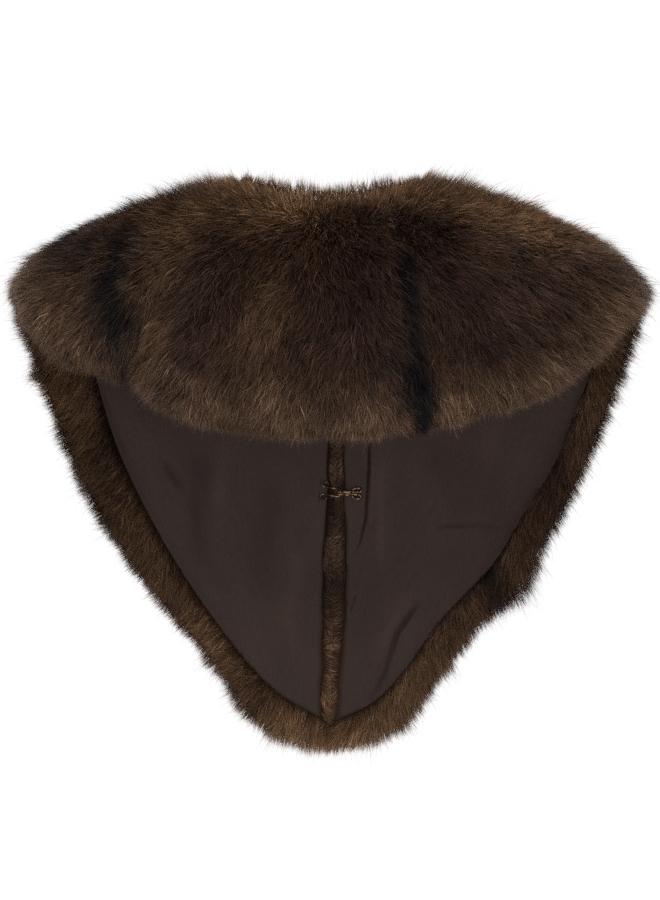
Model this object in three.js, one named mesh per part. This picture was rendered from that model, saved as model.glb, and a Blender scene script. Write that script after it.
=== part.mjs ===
// Fur collar wrap, filled out as it is worn and hooked shut at the centre front.
// Millimetres, +Z up. The back of the garment faces -Y and its fronts face +Y. The origin is the centre of the
// neck opening. Left and right are those of the garment seen from behind, so left is -X.

import * as THREE from 'three';

// Driving sizes of the cut and the sewing.
const SEAM_GAP = 0.3;
const SHOULDER_SEAM_TURN = 97;
const FRONT_TURN = 180;
const LINING_WALL = 1;
const LINING_NECK_INSET = 9;
const NECK_FUR_REACH = 11;
const EDGE_FUR_REACH = 20;
const CLOSING_EDGE_PILE_SHARE = 0.8;
const WIRE_DIAMETER = 1.3;

// The skin of the fur, as sections from the neck edge over a crest to the outer edge. turn is the angle round the
// neck in degrees, from the centre back at 0 over the shoulder at 90 to the centre front at 180. Each section is
// the quadratic curve that its three points steer. pile is the fur's depth, and rimLeft and rimRight are the width
// of the fur that lies inside the outer edge beyond the lining.
const SECTIONS = [
  { turn: 0, neck: [0, -58, 25], crest: [0, -106, -6], edge: [0, -112, -116], pile: 19, rimLeft: 12, rimRight: 12 },
  { turn: 20, neck: [22, -55, 26], crest: [36, -102, -3], edge: [62, -107, -111], pile: 19, rimLeft: 12, rimRight: 12 },
  { turn: 40, neck: [41, -44, 29], crest: [78, -88, 3], edge: [118, -87, -94], pile: 19, rimLeft: 12, rimRight: 12 },
  { turn: 60, neck: [55, -27, 34], crest: [122, -62, 11], edge: [165, -54, -70], pile: 20, rimLeft: 12, rimRight: 12 },
  { turn: 75, neck: [61, -11, 36], crest: [162, -28, 15], edge: [197, -27, -44], pile: 20, rimLeft: 13, rimRight: 12 },
  { turn: 90, neck: [62, 6, 33], crest: [180, 6, 16], edge: [209, 6, -30], pile: 20, rimLeft: 16, rimRight: 12 },
  { turn: 104, neck: [59, 22, 20], crest: [172, 40, 4], edge: [206, 36, -50], pile: 20, rimLeft: 22, rimRight: 10 },
  { turn: 118, neck: [52, 37, 3], crest: [150, 66, -16], edge: [191, 60, -98], pile: 20, rimLeft: 31, rimRight: 8 },
  { turn: 132, neck: [42, 50, -19], crest: [126, 88, -50], edge: [165, 78, -165], pile: 19, rimLeft: 27, rimRight: 9 },
  { turn: 146, neck: [30, 60, -43], crest: [93, 103, -94], edge: [127, 95, -227], pile: 19, rimLeft: 18, rimRight: 13 },
  { turn: 158, neck: [19, 67, -63], crest: [60, 111, -130], edge: [84, 106, -279], pile: 19, rimLeft: 8, rimRight: 13 },
  { turn: 169, neck: [9, 72, -79], crest: [28, 115, -160], edge: [43, 111, -333], pile: 19, rimLeft: 15, rimRight: 13 },
  { turn: 180, neck: [0, 75, -88], crest: [0, 117, -180], edge: [0, 112, -350], pile: 19, rimLeft: 6, rimRight: 3 },
];

// The soft folds and full rolls that run from the neck to the hem: how far each stands out of the section, how far
// it lifts the hem, and how far it lowers the crest.
const FOLDS = [
  { turn: -47, spread: 8, stand: -13, lift: 9, drop: 0 },
  { turn: -67, spread: 13, stand: 6, lift: 0, drop: 7 },
  { turn: -86, spread: 10, stand: 0, lift: 5, drop: 0 },
  { turn: -30, spread: 10, stand: 5, lift: -1, drop: 0 },
  { turn: -6, spread: 9, stand: -2.5, lift: 0, drop: 0 },
  { turn: 27, spread: 7, stand: -4.5, lift: 0, drop: 0 },
  { turn: 48, spread: 11, stand: 4, lift: -3, drop: 0 },
  { turn: 72, spread: 9, stand: -3, lift: 0, drop: 4 },
  { turn: 149, spread: 6, stand: 11, lift: 0, drop: 0 },
];

// The closing line leans to the right on its way up, and the linings stop short of it by these widths.
const CLOSING_LINE = { foot: -345, head: -88, leanAtHead: 5.5, leanFromTurn: 150 };
const CLOSING_GAP = [
  { height: -60, left: 6, right: 6 },
  { height: -183, left: 6, right: 7 },
  { height: -206, left: 7.5, right: 9.5 },
  { height: -258, left: 8, right: 10 },
  { height: -300, left: 7, right: 7 },
  { height: -345, left: 7.5, right: 5 },
];

// The wire hook and its eye, in the plane of the lining where they are sewn: across to the right, up, and out
// towards the inside of the garment.
const FASTENER = {
  height: -170.5,
  barAcross: 3.8,
  shankHalfGap: 0.9,
  billEnd: 10.6,
  loopEnd: 19.4,
  hookTilt: -4,
  eyeTilt: -8,
};

const FUR_FINISH = { color: 0x3b2c1f, roughness: 0.95, metalness: 0 };
const LINING_FINISH = { color: 0x352a26, roughness: 0.55, metalness: 0 };
const METAL_FINISH = { color: 0x8a6548, roughness: 0.35, metalness: 1 };

const ease = (t) => THREE.MathUtils.smoothstep(t, 0, 1);
const mirrored = ([x, y, z]) => [-x, y, z];
const bell = (offset, spread) => Math.exp(-((offset / spread) ** 2));

// Sections all the way round: the left ones mirror the right ones, with their own rim.
const ROUND = [
  ...SECTIONS.slice(1).reverse().map((s) => ({
    turn: -s.turn,
    values: [...mirrored(s.neck), ...mirrored(s.crest), ...mirrored(s.edge), s.pile, s.rimLeft],
  })),
  ...SECTIONS.map((s) => ({ turn: s.turn, values: [...s.neck, ...s.crest, ...s.edge, s.pile, s.rimRight] })),
];

// The section at any turn, blended smoothly between the table's rows.
function section(turn) {
  const last = ROUND.length - 1;
  let i = 0;
  while (i < last - 1 && ROUND[i + 1].turn < turn) i += 1;
  const at = (k) => ROUND[THREE.MathUtils.clamp(k, 0, last)];
  const span = at(i + 1).turn - at(i).turn;
  const t = (turn - at(i).turn) / span;
  const slope = (k, n) => (at(k + 1).values[n] - at(k - 1).values[n]) / (at(k + 1).turn - at(k - 1).turn);
  const values = at(i).values.map((start, n) => {
    const end = at(i + 1).values[n];
    return start * (1 + 2 * t) * (1 - t) ** 2 + end * t * t * (3 - 2 * t)
      + span * (slope(i, n) * t * (1 - t) ** 2 - slope(i + 1, n) * t * t * (1 - t));
  });
  return {
    neck: new THREE.Vector3(...values.slice(0, 3)),
    crest: new THREE.Vector3(...values.slice(3, 6)),
    edge: new THREE.Vector3(...values.slice(6, 9)),
    pile: values[9],
    rim: values[10],
  };
}

// A point of the skin. fall runs from 0 at the neck edge to 1 at the outer edge.
function skin(turn, fall) {
  const { neck, crest, edge } = section(turn);
  const point = new THREE.QuadraticBezierCurve3(neck, crest, edge).getPoint(fall);
  const out = new THREE.Vector3(Math.sin(THREE.MathUtils.degToRad(turn)), -Math.cos(THREE.MathUtils.degToRad(turn)), 0);
  for (const fold of FOLDS) {
    const near = bell(turn - fold.turn, fold.spread);
    const share = near * fall ** 1.5;
    point.addScaledVector(out, fold.stand * share);
    point.z += fold.lift * share * fall - fold.drop * near * 4 * fall * (1 - fall);
  }
  return point;
}

const closingLean = (z) => CLOSING_LINE.leanAtHead * (z - CLOSING_LINE.foot) / (CLOSING_LINE.head - CLOSING_LINE.foot);

// Leans a point of a front over with the closing line, and parts the two fronts there.
function leaned(point, turn) {
  const share = ease((Math.abs(turn) - CLOSING_LINE.leanFromTurn) / (FRONT_TURN - CLOSING_LINE.leanFromTurn));
  point.x += share * (closingLean(point.z) + Math.sign(turn) * SEAM_GAP / 2);
  return point;
}

// The skin's directions at a place: along the ring, down the section, and out of the garment. At the centre front
// they have no part across, so that the two fronts meet on one plane.
function directions(turn, fall) {
  const step = 0.01;
  const limit = (t) => THREE.MathUtils.clamp(t, -FRONT_TURN, FRONT_TURN);
  const ring = skin(limit(turn + 50 * step), fall).sub(skin(limit(turn - 50 * step), fall)).normalize();
  const down = skin(turn, Math.min(1, fall + step)).sub(skin(turn, Math.max(0, fall - step))).normalize();
  const out = down.clone().cross(ring).normalize();
  const away = down.clone().addScaledVector(ring, -down.dot(ring)).normalize();
  const centred = ease((FRONT_TURN - Math.abs(turn)) / 16);
  out.x *= centred;
  away.x *= centred;
  return { out: out.normalize(), away: away.normalize() };
}

function offSkin(turn, fall, height) {
  return skin(turn, fall).addScaledVector(directions(turn, fall).out, height);
}

const pileDepth = (turn) => {
  const closing = ease((FRONT_TURN - Math.abs(turn)) / 12);
  return section(turn).pile * THREE.MathUtils.lerp(CLOSING_EDGE_PILE_SHARE, 1, closing);
};

// The rounded brow of fur past an edge of the skin, from the inside of the wall (-90 degrees) to its outside.
function brow(turn, fall, reach, angle) {
  const { out, away } = directions(turn, fall);
  const side = fall > 0.5 ? 1 : -1;
  const rad = THREE.MathUtils.degToRad(angle);
  return skin(turn, fall)
    .addScaledVector(away, side * reach * Math.cos(rad))
    .addScaledVector(out, (pileDepth(turn) / 2) * (1 + Math.sin(rad)));
}

// The falls of the rows of one column. The second row and the last but one are the lining's edges.
function falls(turn, rows) {
  const { neck, crest, edge, rim } = section(turn);
  const first = LINING_NECK_INSET / (2 * neck.distanceTo(crest));
  const last = 1 - rim / (2 * crest.distanceTo(edge));
  const between = Array.from({ length: rows - 1 }, (_, j) => THREE.MathUtils.lerp(first, last, j / (rows - 2)));
  return [0, ...between, 1];
}

// The turn at which a front lies a stated width away from the closing line, at one fall.
function turnBeside(side, fall, widthAt) {
  let near = FRONT_TURN;
  let far = 120;
  for (let i = 0; i < 30; i += 1) {
    const middle = (near + far) / 2;
    const point = skin(side * middle, fall);
    if (Math.abs(point.x) < widthAt(point.z)) near = middle;
    else far = middle;
  }
  return near;
}

function closingGap(side, z) {
  const column = side < 0 ? 'left' : 'right';
  const below = CLOSING_GAP.findIndex((row) => row.height <= z);
  if (below < 0) return CLOSING_GAP.at(-1)[column];
  const low = CLOSING_GAP[below];
  const high = CLOSING_GAP[Math.max(0, below - 1)];
  const share = high === low ? 0 : (z - low.height) / (high.height - low.height);
  return THREE.MathUtils.lerp(low[column], high[column], THREE.MathUtils.clamp(share, 0, 1));
}

// How far in degrees a piece stops short of the shoulder seam, so that the gap there is even.
function seamTurn(side, fall, sign) {
  const here = side * SHOULDER_SEAM_TURN;
  const perDegree = skin(here + 0.5, fall).distanceTo(skin(here - 0.5, fall));
  return here + sign * side * SEAM_GAP / 2 / perDegree;
}

// The places (turn, fall) of a panel's points, column by column. The last column of a front is its closing edge,
// and the one before it is the lining's.
function backPlaces(columns, rows) {
  return Array.from({ length: columns + 1 }, (_, i) => {
    const share = i / columns;
    const middle = THREE.MathUtils.lerp(-SHOULDER_SEAM_TURN, SHOULDER_SEAM_TURN, share);
    return falls(middle, rows).map((fall) => ({
      turn: THREE.MathUtils.lerp(seamTurn(-1, fall, -1), seamTurn(1, fall, -1), share),
      fall,
    }));
  });
}

function frontPlaces(side, columns, rows) {
  return Array.from({ length: columns + 1 }, (_, i) => {
    const share = Math.min(1, i / (columns - 1));
    const turnAt = (fall) => THREE.MathUtils.lerp(
      seamTurn(side, fall, 1),
      i === columns ? side * FRONT_TURN : side * turnBeside(side, fall, (z) => closingGap(side, z)),
      i === columns ? 1 : share,
    );
    const middle = turnAt(0.5);
    return falls(middle, rows).map((fall) => ({ turn: turnAt(fall), fall }));
  });
}

// A closed wall through loops of points, one for each column. pairs names, from one edge of the wall to the other,
// the loop's points that face each other, and closes both ends with them.
function wall(loops, pairs) {
  const size = loops[0].length;
  const index = [];
  for (let i = 0; i + 1 < loops.length; i += 1) {
    for (let k = 0; k < size; k += 1) {
      const next = (k + 1) % size;
      const [a, b, c, d] = [i * size + k, i * size + next, (i + 1) * size + next, (i + 1) * size + k];
      index.push(a, b, c, a, c, d);
    }
  }
  for (const [start, flip] of [[0, true], [(loops.length - 1) * size, false]]) {
    for (let n = 0; n + 1 < pairs.length; n += 1) {
      const [[p, q], [pNext, qNext]] = [pairs[n], pairs[n + 1]];
      const faces = [];
      if (pNext !== qNext) faces.push([p, pNext, qNext]);
      if (p !== q) faces.push([p, qNext, q]);
      if (pNext === qNext) faces.splice(0, faces.length, [p, pNext, q]);
      for (const [a, b, c] of faces) index.push(start + a, start + (flip ? c : b), start + (flip ? b : c));
    }
  }
  const geometry = new THREE.BufferGeometry().setFromPoints(loops.flat());
  geometry.setIndex(facingOut(geometry, index));
  geometry.computeVertexNormals();
  return geometry;
}

// The faces turned round where they enclose a negative volume.
function facingOut(geometry, index) {
  const corner = (k) => new THREE.Vector3().fromBufferAttribute(geometry.attributes.position, index[k]);
  let volume = 0;
  for (let k = 0; k < index.length; k += 3) volume += corner(k).dot(corner(k + 1).cross(corner(k + 2)));
  return volume > 0 ? index : index.slice().reverse();
}

// The fur of a panel, with its skin on the inside, its pile on the outside and a rounded brow at both edges.
function furWall(places) {
  const browAngles = [-60, -30, 0, 30, 60];
  const rows = places[0].length;
  const loops = places.map((column) => {
    const [top, foot] = [column[0], column.at(-1)];
    const inside = column.map(({ turn, fall }) => leaned(skin(turn, fall), turn));
    const outside = column.map(({ turn, fall }) => leaned(offSkin(turn, fall, pileDepth(turn)), turn)).reverse();
    const footBrow = browAngles.map((a) => leaned(brow(foot.turn, 1, EDGE_FUR_REACH, a), foot.turn));
    const neckBrow = browAngles.map((a) => leaned(brow(top.turn, 0, NECK_FUR_REACH, -a), top.turn));
    return [...inside, ...footBrow, ...outside, ...neckBrow];
  });
  const size = loops[0].length;
  const middleBrow = (browAngles.length - 1) / 2;
  const neckMiddle = size - browAngles.length + middleBrow;
  const count = rows + browAngles.length;
  const pairs = Array.from({ length: count + 1 }, (_, n) => [
    (neckMiddle + n) % size,
    (neckMiddle - n + size) % size,
  ]);
  return wall(loops, pairs);
}

// The lining of a panel: the same points, moved in off the skin.
function liningWall(places) {
  const loops = places.map((column) => {
    const sewn = column.slice(1, -1);
    const near = sewn.map(({ turn, fall }) => leaned(offSkin(turn, fall, -SEAM_GAP), turn));
    const far = sewn.map(({ turn, fall }) => leaned(offSkin(turn, fall, -SEAM_GAP - LINING_WALL), turn)).reverse();
    return [...near, ...far];
  });
  const size = loops[0].length;
  const pairs = Array.from({ length: size / 2 }, (_, n) => [n, size - 1 - n]);
  return wall(loops, pairs);
}

// The plane of the closing where the fastener sits: its matrix takes (across, up, in) to the garment.
function fastenerPlane(tilt) {
  let [high, low] = [0, 1];
  for (let i = 0; i < 30; i += 1) {
    const middle = (high + low) / 2;
    if (skin(FRONT_TURN, middle).z > FASTENER.height) high = middle;
    else low = middle;
  }
  const { out } = directions(FRONT_TURN, high);
  const place = offSkin(FRONT_TURN, high, -SEAM_GAP - LINING_WALL);
  place.x += closingLean(place.z);
  const inward = out.clone().negate();
  const across = new THREE.Vector3(1, 0, 0);
  const up = inward.clone().cross(across).normalize();
  return new THREE.Matrix4()
    .makeBasis(across, up, inward)
    .setPosition(place)
    .multiply(new THREE.Matrix4().makeRotationZ(THREE.MathUtils.degToRad(tilt)));
}

// A wire with round section along a smooth line through points.
function wire(points, matrix, steps) {
  const sides = 8;
  const corners = Array.from({ length: sides }, (_, k) => new THREE.Vector2(
    (WIRE_DIAMETER / 2) * Math.cos((2 * Math.PI * k) / sides),
    (WIRE_DIAMETER / 2) * Math.sin((2 * Math.PI * k) / sides),
  ));
  const path = new THREE.CatmullRomCurve3(points.map((p) => new THREE.Vector3(...p).applyMatrix4(matrix)), false, 'centripetal');
  return new THREE.ExtrudeGeometry(new THREE.Shape(corners), { steps, extrudePath: path, curveSegments: 1 });
}

const withMirror = (half) => [...half, ...half.map(([a, b, c]) => [a, -b, c]).reverse()];

// The seat height of a wire that lies on the lining, and of one that crosses over another.
const SEAT = SEAM_GAP + WIRE_DIAMETER / 2;
const LAYER = SEAM_GAP + WIRE_DIAMETER;

// The eye: two sewing loops, and a bow whose bar the hook holds.
function eyeGeometry() {
  const loop = { across: -7.8, up: 4.6, long: 2.5, wide: 1.8 };
  const onLoop = (degrees) => [
    loop.across + loop.long * Math.cos(THREE.MathUtils.degToRad(degrees)),
    loop.up + loop.wide * Math.sin(THREE.MathUtils.degToRad(degrees)),
    SEAT,
  ];
  const bar = FASTENER.barAcross;
  const half = [
    ...[0, 45, 90, 135, 180, 225, 265].map(onLoop),
    [-4.6, loop.up - loop.wide, SEAT + 0.2],
    [-1.6, 2.9, SEAT + LAYER * 0.7],
    [bar - 2.2, 2.9, SEAT + LAYER],
    [bar - 0.7, 2.5, SEAT + LAYER],
    [bar, 1.2, SEAT + LAYER],
  ];
  return wire(withMirror(half), fastenerPlane(FASTENER.eyeTilt), 56);
}

// The hook: two sewing loops, a doubled shank, and the doubled bill that folds back over the eye's bar.
function hookGeometry() {
  const { barAcross: bar, shankHalfGap: b, billEnd, loopEnd } = FASTENER;
  const top = SEAT + 2 * LAYER;
  const half = [
    [12.9, 2.6, SEAT],
    [14.4, 3.5, SEAT],
    [16.6, 4.1, SEAT],
    [loopEnd - 0.8, 3.6, SEAT],
    [loopEnd, 2.5, SEAT],
    [loopEnd - 0.9, 1.4, SEAT],
    [16.4, b + 0.1, SEAT],
    [13, b, SEAT],
    [bar + 1.5, b, SEAT],
    [bar, b, SEAT],
    [bar - LAYER * 0.78, b, SEAT + LAYER * 0.38],
    [bar - LAYER, b, SEAT + LAYER],
    [bar - LAYER * 0.78, b, top - LAYER * 0.38],
    [bar, b, top],
    [bar + 2.5, b, top],
    [billEnd - 0.9, b, top],
    [billEnd - 0.1, b * 0.62, top],
  ];
  return wire(withMirror(half), fastenerPlane(FASTENER.hookTilt), 72);
}

const collar = new THREE.Group();

function add(name, geometry, finish) {
  const mesh = new THREE.Mesh(geometry, new THREE.MeshStandardMaterial(finish));
  mesh.name = name;
  collar.add(mesh);
}

const PANELS = {
  back: backPlaces(44, 9),
  front_left: frontPlaces(-1, 20, 12),
  front_right: frontPlaces(1, 20, 12),
};
for (const [panel, places] of Object.entries(PANELS)) {
  add(`fur_${panel}`, furWall(places), FUR_FINISH);
  add(`lining_${panel}`, liningWall(panel === 'back' ? places : places.slice(0, -1)), LINING_FINISH);
}
add('hook', hookGeometry(), METAL_FINISH);
add('eye', eyeGeometry(), METAL_FINISH);

export default collar;
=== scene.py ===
from collections import namedtuple
from math import cos, radians, sin

import bmesh
import bpy
import numpy as np
from bpy.props import FloatProperty, FloatVectorProperty, IntProperty, PointerProperty
from bpy.types import Operator, Panel, PropertyGroup
from mathutils import Matrix, Vector
from mathutils.kdtree import KDTree


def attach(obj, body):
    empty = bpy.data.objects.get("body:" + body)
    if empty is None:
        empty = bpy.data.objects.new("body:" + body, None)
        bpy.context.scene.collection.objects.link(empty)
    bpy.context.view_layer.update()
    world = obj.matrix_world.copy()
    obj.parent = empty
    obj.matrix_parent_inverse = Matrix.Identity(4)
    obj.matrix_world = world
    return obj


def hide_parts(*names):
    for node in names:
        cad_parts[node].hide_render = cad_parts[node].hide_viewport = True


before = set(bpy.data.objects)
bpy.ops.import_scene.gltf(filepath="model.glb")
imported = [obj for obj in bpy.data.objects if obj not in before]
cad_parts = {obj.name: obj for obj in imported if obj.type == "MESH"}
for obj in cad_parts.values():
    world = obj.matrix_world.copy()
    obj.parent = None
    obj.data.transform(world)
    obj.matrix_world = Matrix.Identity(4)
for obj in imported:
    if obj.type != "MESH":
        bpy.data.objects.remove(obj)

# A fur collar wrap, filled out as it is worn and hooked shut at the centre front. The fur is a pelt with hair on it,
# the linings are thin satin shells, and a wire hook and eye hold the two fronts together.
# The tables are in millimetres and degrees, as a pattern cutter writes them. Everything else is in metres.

bl_info = {
    "name": "Fur Collar Wrap",
    "version": (1, 0, 0),
    "blender": (4, 5, 0),
    "location": "View3D > Sidebar > Collar",
    "description": "Makes a fur collar wrap with satin linings and a wire hook and eye",
    "category": "Object",
}

MM = 0.001

# The skin of the fur, as sections from the neck edge over a crest to the outer edge, at each turn round the neck:
# 0 is the centre back, 90 the shoulder and 180 the centre front. pile is the fur's depth, and the rims are the widths
# of the fur that lies inside the outer edge beyond the lining.
Section = namedtuple("Section", "turn neck crest edge pile rim_left rim_right")
SECTIONS = (
    Section(0, (0, -58, 25), (0, -106, -6), (0, -112, -116), 19, 12, 12),
    Section(20, (22, -55, 26), (36, -102, -3), (62, -107, -111), 19, 12, 12),
    Section(40, (41, -44, 29), (78, -88, 3), (118, -87, -94), 19, 12, 12),
    Section(60, (55, -27, 34), (122, -62, 11), (165, -54, -70), 20, 12, 12),
    Section(75, (61, -11, 36), (162, -28, 15), (197, -27, -44), 20, 13, 12),
    Section(90, (62, 6, 33), (180, 6, 16), (209, 6, -30), 20, 16, 12),
    Section(104, (59, 22, 20), (172, 40, 4), (206, 36, -50), 20, 22, 10),
    Section(118, (52, 37, 3), (150, 66, -16), (191, 60, -98), 20, 31, 8),
    Section(132, (42, 50, -19), (126, 88, -50), (165, 78, -165), 19, 27, 9),
    Section(146, (30, 60, -43), (93, 103, -94), (127, 95, -227), 19, 18, 13),
    Section(158, (19, 67, -63), (60, 111, -130), (84, 106, -279), 19, 8, 13),
    Section(169, (9, 72, -79), (28, 115, -160), (43, 111, -333), 19, 15, 13),
    Section(180, (0, 75, -88), (0, 117, -180), (0, 112, -350), 19, 6, 3),
)

# The soft folds and full rolls from the neck to the hem: how far each stands out, how far it lifts the hem, and how
# far it lowers the crest.
Fold = namedtuple("Fold", "turn spread stand lift drop")
FOLDS = (
    Fold(-47, 8, -13, 9, 0),
    Fold(-67, 13, 6, 0, 7),
    Fold(-86, 10, 0, 5, 0),
    Fold(-30, 10, 5, -1, 0),
    Fold(-6, 9, -2.5, 0, 0),
    Fold(27, 7, -4.5, 0, 0),
    Fold(48, 11, 4, -3, 0),
    Fold(72, 9, -3, 0, 4),
    Fold(149, 6, 11, 0, 0),
)

# The closing line leans to the right on its way up, and the linings stop short of it by these widths.
LEAN_FOOT = -345
LEAN_HEAD = -88
LEAN_AT_HEAD = 5.5
LEAN_FROM_TURN = 150
ClosingGap = namedtuple("ClosingGap", "height left right")
CLOSING_GAPS = (
    ClosingGap(-345, 7.5, 5),
    ClosingGap(-300, 7, 7),
    ClosingGap(-258, 8, 10),
    ClosingGap(-206, 7.5, 9.5),
    ClosingGap(-183, 6, 7),
    ClosingGap(-60, 6, 6),
)

SEAM_GAP = 0.3
SHOULDER_SEAM_TURN = 97
FRONT_TURN = 180
LINING_WALL = 1
LINING_NECK_INSET = 9
NECK_FUR_REACH = 11
EDGE_FUR_REACH = 20
CLOSING_EDGE_PILE_SHARE = 0.8
WIRE_DIAMETER = 1.3

# The panels, from the seam at one end to the seam or closing edge at the other.
FurPanel = namedtuple("FurPanel", "name start end")
BACK = FurPanel("back", -SHOULDER_SEAM_TURN, SHOULDER_SEAM_TURN)
FRONTS = (
    FurPanel("front_left", -SHOULDER_SEAM_TURN, -FRONT_TURN),
    FurPanel("front_right", SHOULDER_SEAM_TURN, FRONT_TURN),
)


def linear(red, green, blue):
    """The scene's own numbers for a colour as a screen shows it."""
    return tuple(c / 12.92 if c <= 0.04045 else ((c + 0.055) / 1.055) ** 2.4 for c in (red, green, blue))


def eased(t):
    t = np.clip(t, 0, 1)
    return t * t * (3 - 2 * t)


def blend(a, b, t):
    return a + (b - a) * t


def bell(offset, spread):
    return np.exp(-((offset / spread) ** 2))


def unit(vectors):
    return vectors / np.maximum(np.linalg.norm(vectors, axis=-1, keepdims=True), 1e-12)


def tall(values):
    """One column of values, to multiply rows of vectors by."""
    return np.asarray(values)[..., None]


# The skin

def all_round():
    """The turns of the sections all the way round, and their values in metres. The left ones mirror the right ones."""
    turns, rows = [], []
    flip = np.array((-1, 1, 1))
    for s in reversed(SECTIONS[1:]):
        turns.append(-s.turn)
        rows.append(np.concatenate((flip * s.neck, flip * s.crest, flip * s.edge, (s.pile, s.rim_left))))
    for s in SECTIONS:
        turns.append(s.turn)
        rows.append(np.concatenate((s.neck, s.crest, s.edge, (s.pile, s.rim_right))))
    return np.array(turns, float), np.array(rows, float) * MM


TURNS, ROUND = all_round()
AFTER = np.minimum(np.arange(len(TURNS)) + 1, len(TURNS) - 1)
BEFORE = np.maximum(np.arange(len(TURNS)) - 1, 0)
SLOPES = (ROUND[AFTER] - ROUND[BEFORE]) / (TURNS[AFTER] - TURNS[BEFORE])[:, None]

Cut = namedtuple("Cut", "neck crest edge pile rim")


def section(turn):
    """The section at each turn, blended smoothly between the table's rows."""
    turn = np.asarray(turn, float)
    i = np.clip(np.searchsorted(TURNS, turn) - 1, 0, len(TURNS) - 2)
    span = tall(TURNS[i + 1] - TURNS[i])
    t = tall(turn - TURNS[i]) / span
    values = (
        ROUND[i] * (1 + 2 * t) * (1 - t) ** 2
        + ROUND[i + 1] * t * t * (3 - 2 * t)
        + span * (SLOPES[i] * t * (1 - t) ** 2 - SLOPES[i + 1] * t * t * (1 - t))
    )
    return Cut(values[..., 0:3], values[..., 3:6], values[..., 6:9], values[..., 9], values[..., 10])


def skin(turn, fall):
    """Points of the skin. fall runs from 0 at the neck edge to 1 at the outer edge."""
    turn, fall = np.broadcast_arrays(np.asarray(turn, float), np.asarray(fall, float))
    cut, f = section(turn), tall(fall)
    point = cut.neck * (1 - f) ** 2 + cut.crest * 2 * f * (1 - f) + cut.edge * f * f
    angle = np.radians(turn)
    out = np.stack((np.sin(angle), -np.cos(angle), np.zeros_like(angle)), -1)
    for fold in FOLDS:
        near = bell(turn - fold.turn, fold.spread)
        share = near * fall ** 1.5
        point = point + out * tall(fold.stand * MM * share)
        point[..., 2] += (fold.lift * share * fall - fold.drop * near * 4 * fall * (1 - fall)) * MM
    return point


def lean_at(z):
    """How far the closing line lies to the right at a height, in millimetres."""
    return LEAN_AT_HEAD * (z / MM - LEAN_FOOT) / (LEAN_HEAD - LEAN_FOOT)


def near_closing(turn):
    return eased((np.abs(turn) - LEAN_FROM_TURN) / (FRONT_TURN - LEAN_FROM_TURN))


def leaned(point, turn):
    """Leans points of the fronts over with the closing line, and parts the two fronts there."""
    moved = point.copy()
    moved[..., 0] += near_closing(turn) * (lean_at(point[..., 2]) + np.sign(turn) * SEAM_GAP / 2) * MM
    return moved


Ways = namedtuple("Ways", "ring down out away")
DEPTH_FROM_CENTRE = 16
PILE_FROM_CENTRE = 12


def directions(turn, fall):
    """Unit vectors at places of the skin: along the ring, down the section, out, and square to the ring. At the
    centre front out and away have no part across, so that the two fronts meet on one plane."""
    step = 0.01
    after = np.clip(turn + 50 * step, -FRONT_TURN, FRONT_TURN)
    before = np.clip(turn - 50 * step, -FRONT_TURN, FRONT_TURN)
    ring = unit(skin(after, fall) - skin(before, fall))
    down = unit(skin(turn, np.minimum(1, fall + step)) - skin(turn, np.maximum(0, fall - step)))
    out = unit(np.cross(down, ring))
    away = unit(down - ring * (down * ring).sum(-1, keepdims=True))
    centred = eased((FRONT_TURN - np.abs(turn)) / DEPTH_FROM_CENTRE)
    out[..., 0] *= centred
    away[..., 0] *= centred
    return Ways(ring, down, unit(out), unit(away))


def pile_depth(turn):
    closing = eased((FRONT_TURN - np.abs(turn)) / PILE_FROM_CENTRE)
    return section(turn).pile * blend(CLOSING_EDGE_PILE_SHARE, 1, closing)


def lining_falls(turn):
    """The falls of the lining's edges at each turn."""
    cut = section(turn)
    first = LINING_NECK_INSET * MM / (2 * np.linalg.norm(cut.neck - cut.crest, axis=-1))
    last = 1 - cut.rim / (2 * np.linalg.norm(cut.crest - cut.edge, axis=-1))
    return first, last


def closing_gap(side, z):
    heights = [row.height * MM for row in CLOSING_GAPS]
    widths = [(row.left if side < 0 else row.right) * MM for row in CLOSING_GAPS]
    ripple = np.sin(z / MM * 0.19 + side) + 0.7 * np.sin(z / MM * 0.071 + 2 * side)
    return np.interp(z, heights, widths) + 0.35 * MM * ripple


def turn_beside(side, fall):
    """The turns at which a front's lining ends beside the closing line, at each fall."""
    near = np.full(np.shape(fall), float(FRONT_TURN))
    far = np.full(np.shape(fall), 120.0)
    for _ in range(30):
        middle = (near + far) / 2
        point = skin(side * middle, fall)
        inside = np.abs(point[..., 0]) < closing_gap(side, point[..., 2])
        near = np.where(inside, middle, near)
        far = np.where(inside, far, middle)
    return side * near


def seam_turn(panel, fall, start):
    """Where a panel stops short of the shoulder seam, so that the gap there is even."""
    seam = panel.start if start else panel.end
    if abs(seam) == FRONT_TURN:
        return np.full(np.shape(fall), float(seam))
    inward = np.sign(panel.end - panel.start) * (1 if start else -1)
    per_degree = np.linalg.norm(skin(seam + 0.5, fall) - skin(seam - 0.5, fall), axis=-1)
    return seam + inward * SEAM_GAP * MM / 2 / per_degree


# Chance that is the same on each run

def waves(points, size, seed, count=7):
    """Smooth irregular values from about -1 to 1 whose swells are about size across."""
    rng = np.random.default_rng(seed)
    total = np.zeros(points.shape[:-1])
    for _ in range(count):
        way = unit(rng.normal(size=3)) * rng.uniform(0.7, 1.5)
        total += np.sin(points @ way * (2 * np.pi / size) + rng.uniform(0, 2 * np.pi))
    return total / np.sqrt(count)


# The fur

PELT_SHARE = 0.45

# place is a hair's root, facing the way out of the pelt there and lay the way that the hair lies. length is a share
# of the full hair, stand the angle at which it stands off the pelt, droop how far it hangs, and edge how near the
# outer edge it grows. shadow is painted shadow: how dark the fur is painted at its foot there. light is how much
# lighter the fur is painted beside the rest, which is painted light at the top, the nape, the neck's brow and the
# closing.
Coat = namedtuple(
    "Coat", "place facing lay turn fall length stand droop edge shadow light", defaults=(0, 0, 0, 1))


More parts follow.
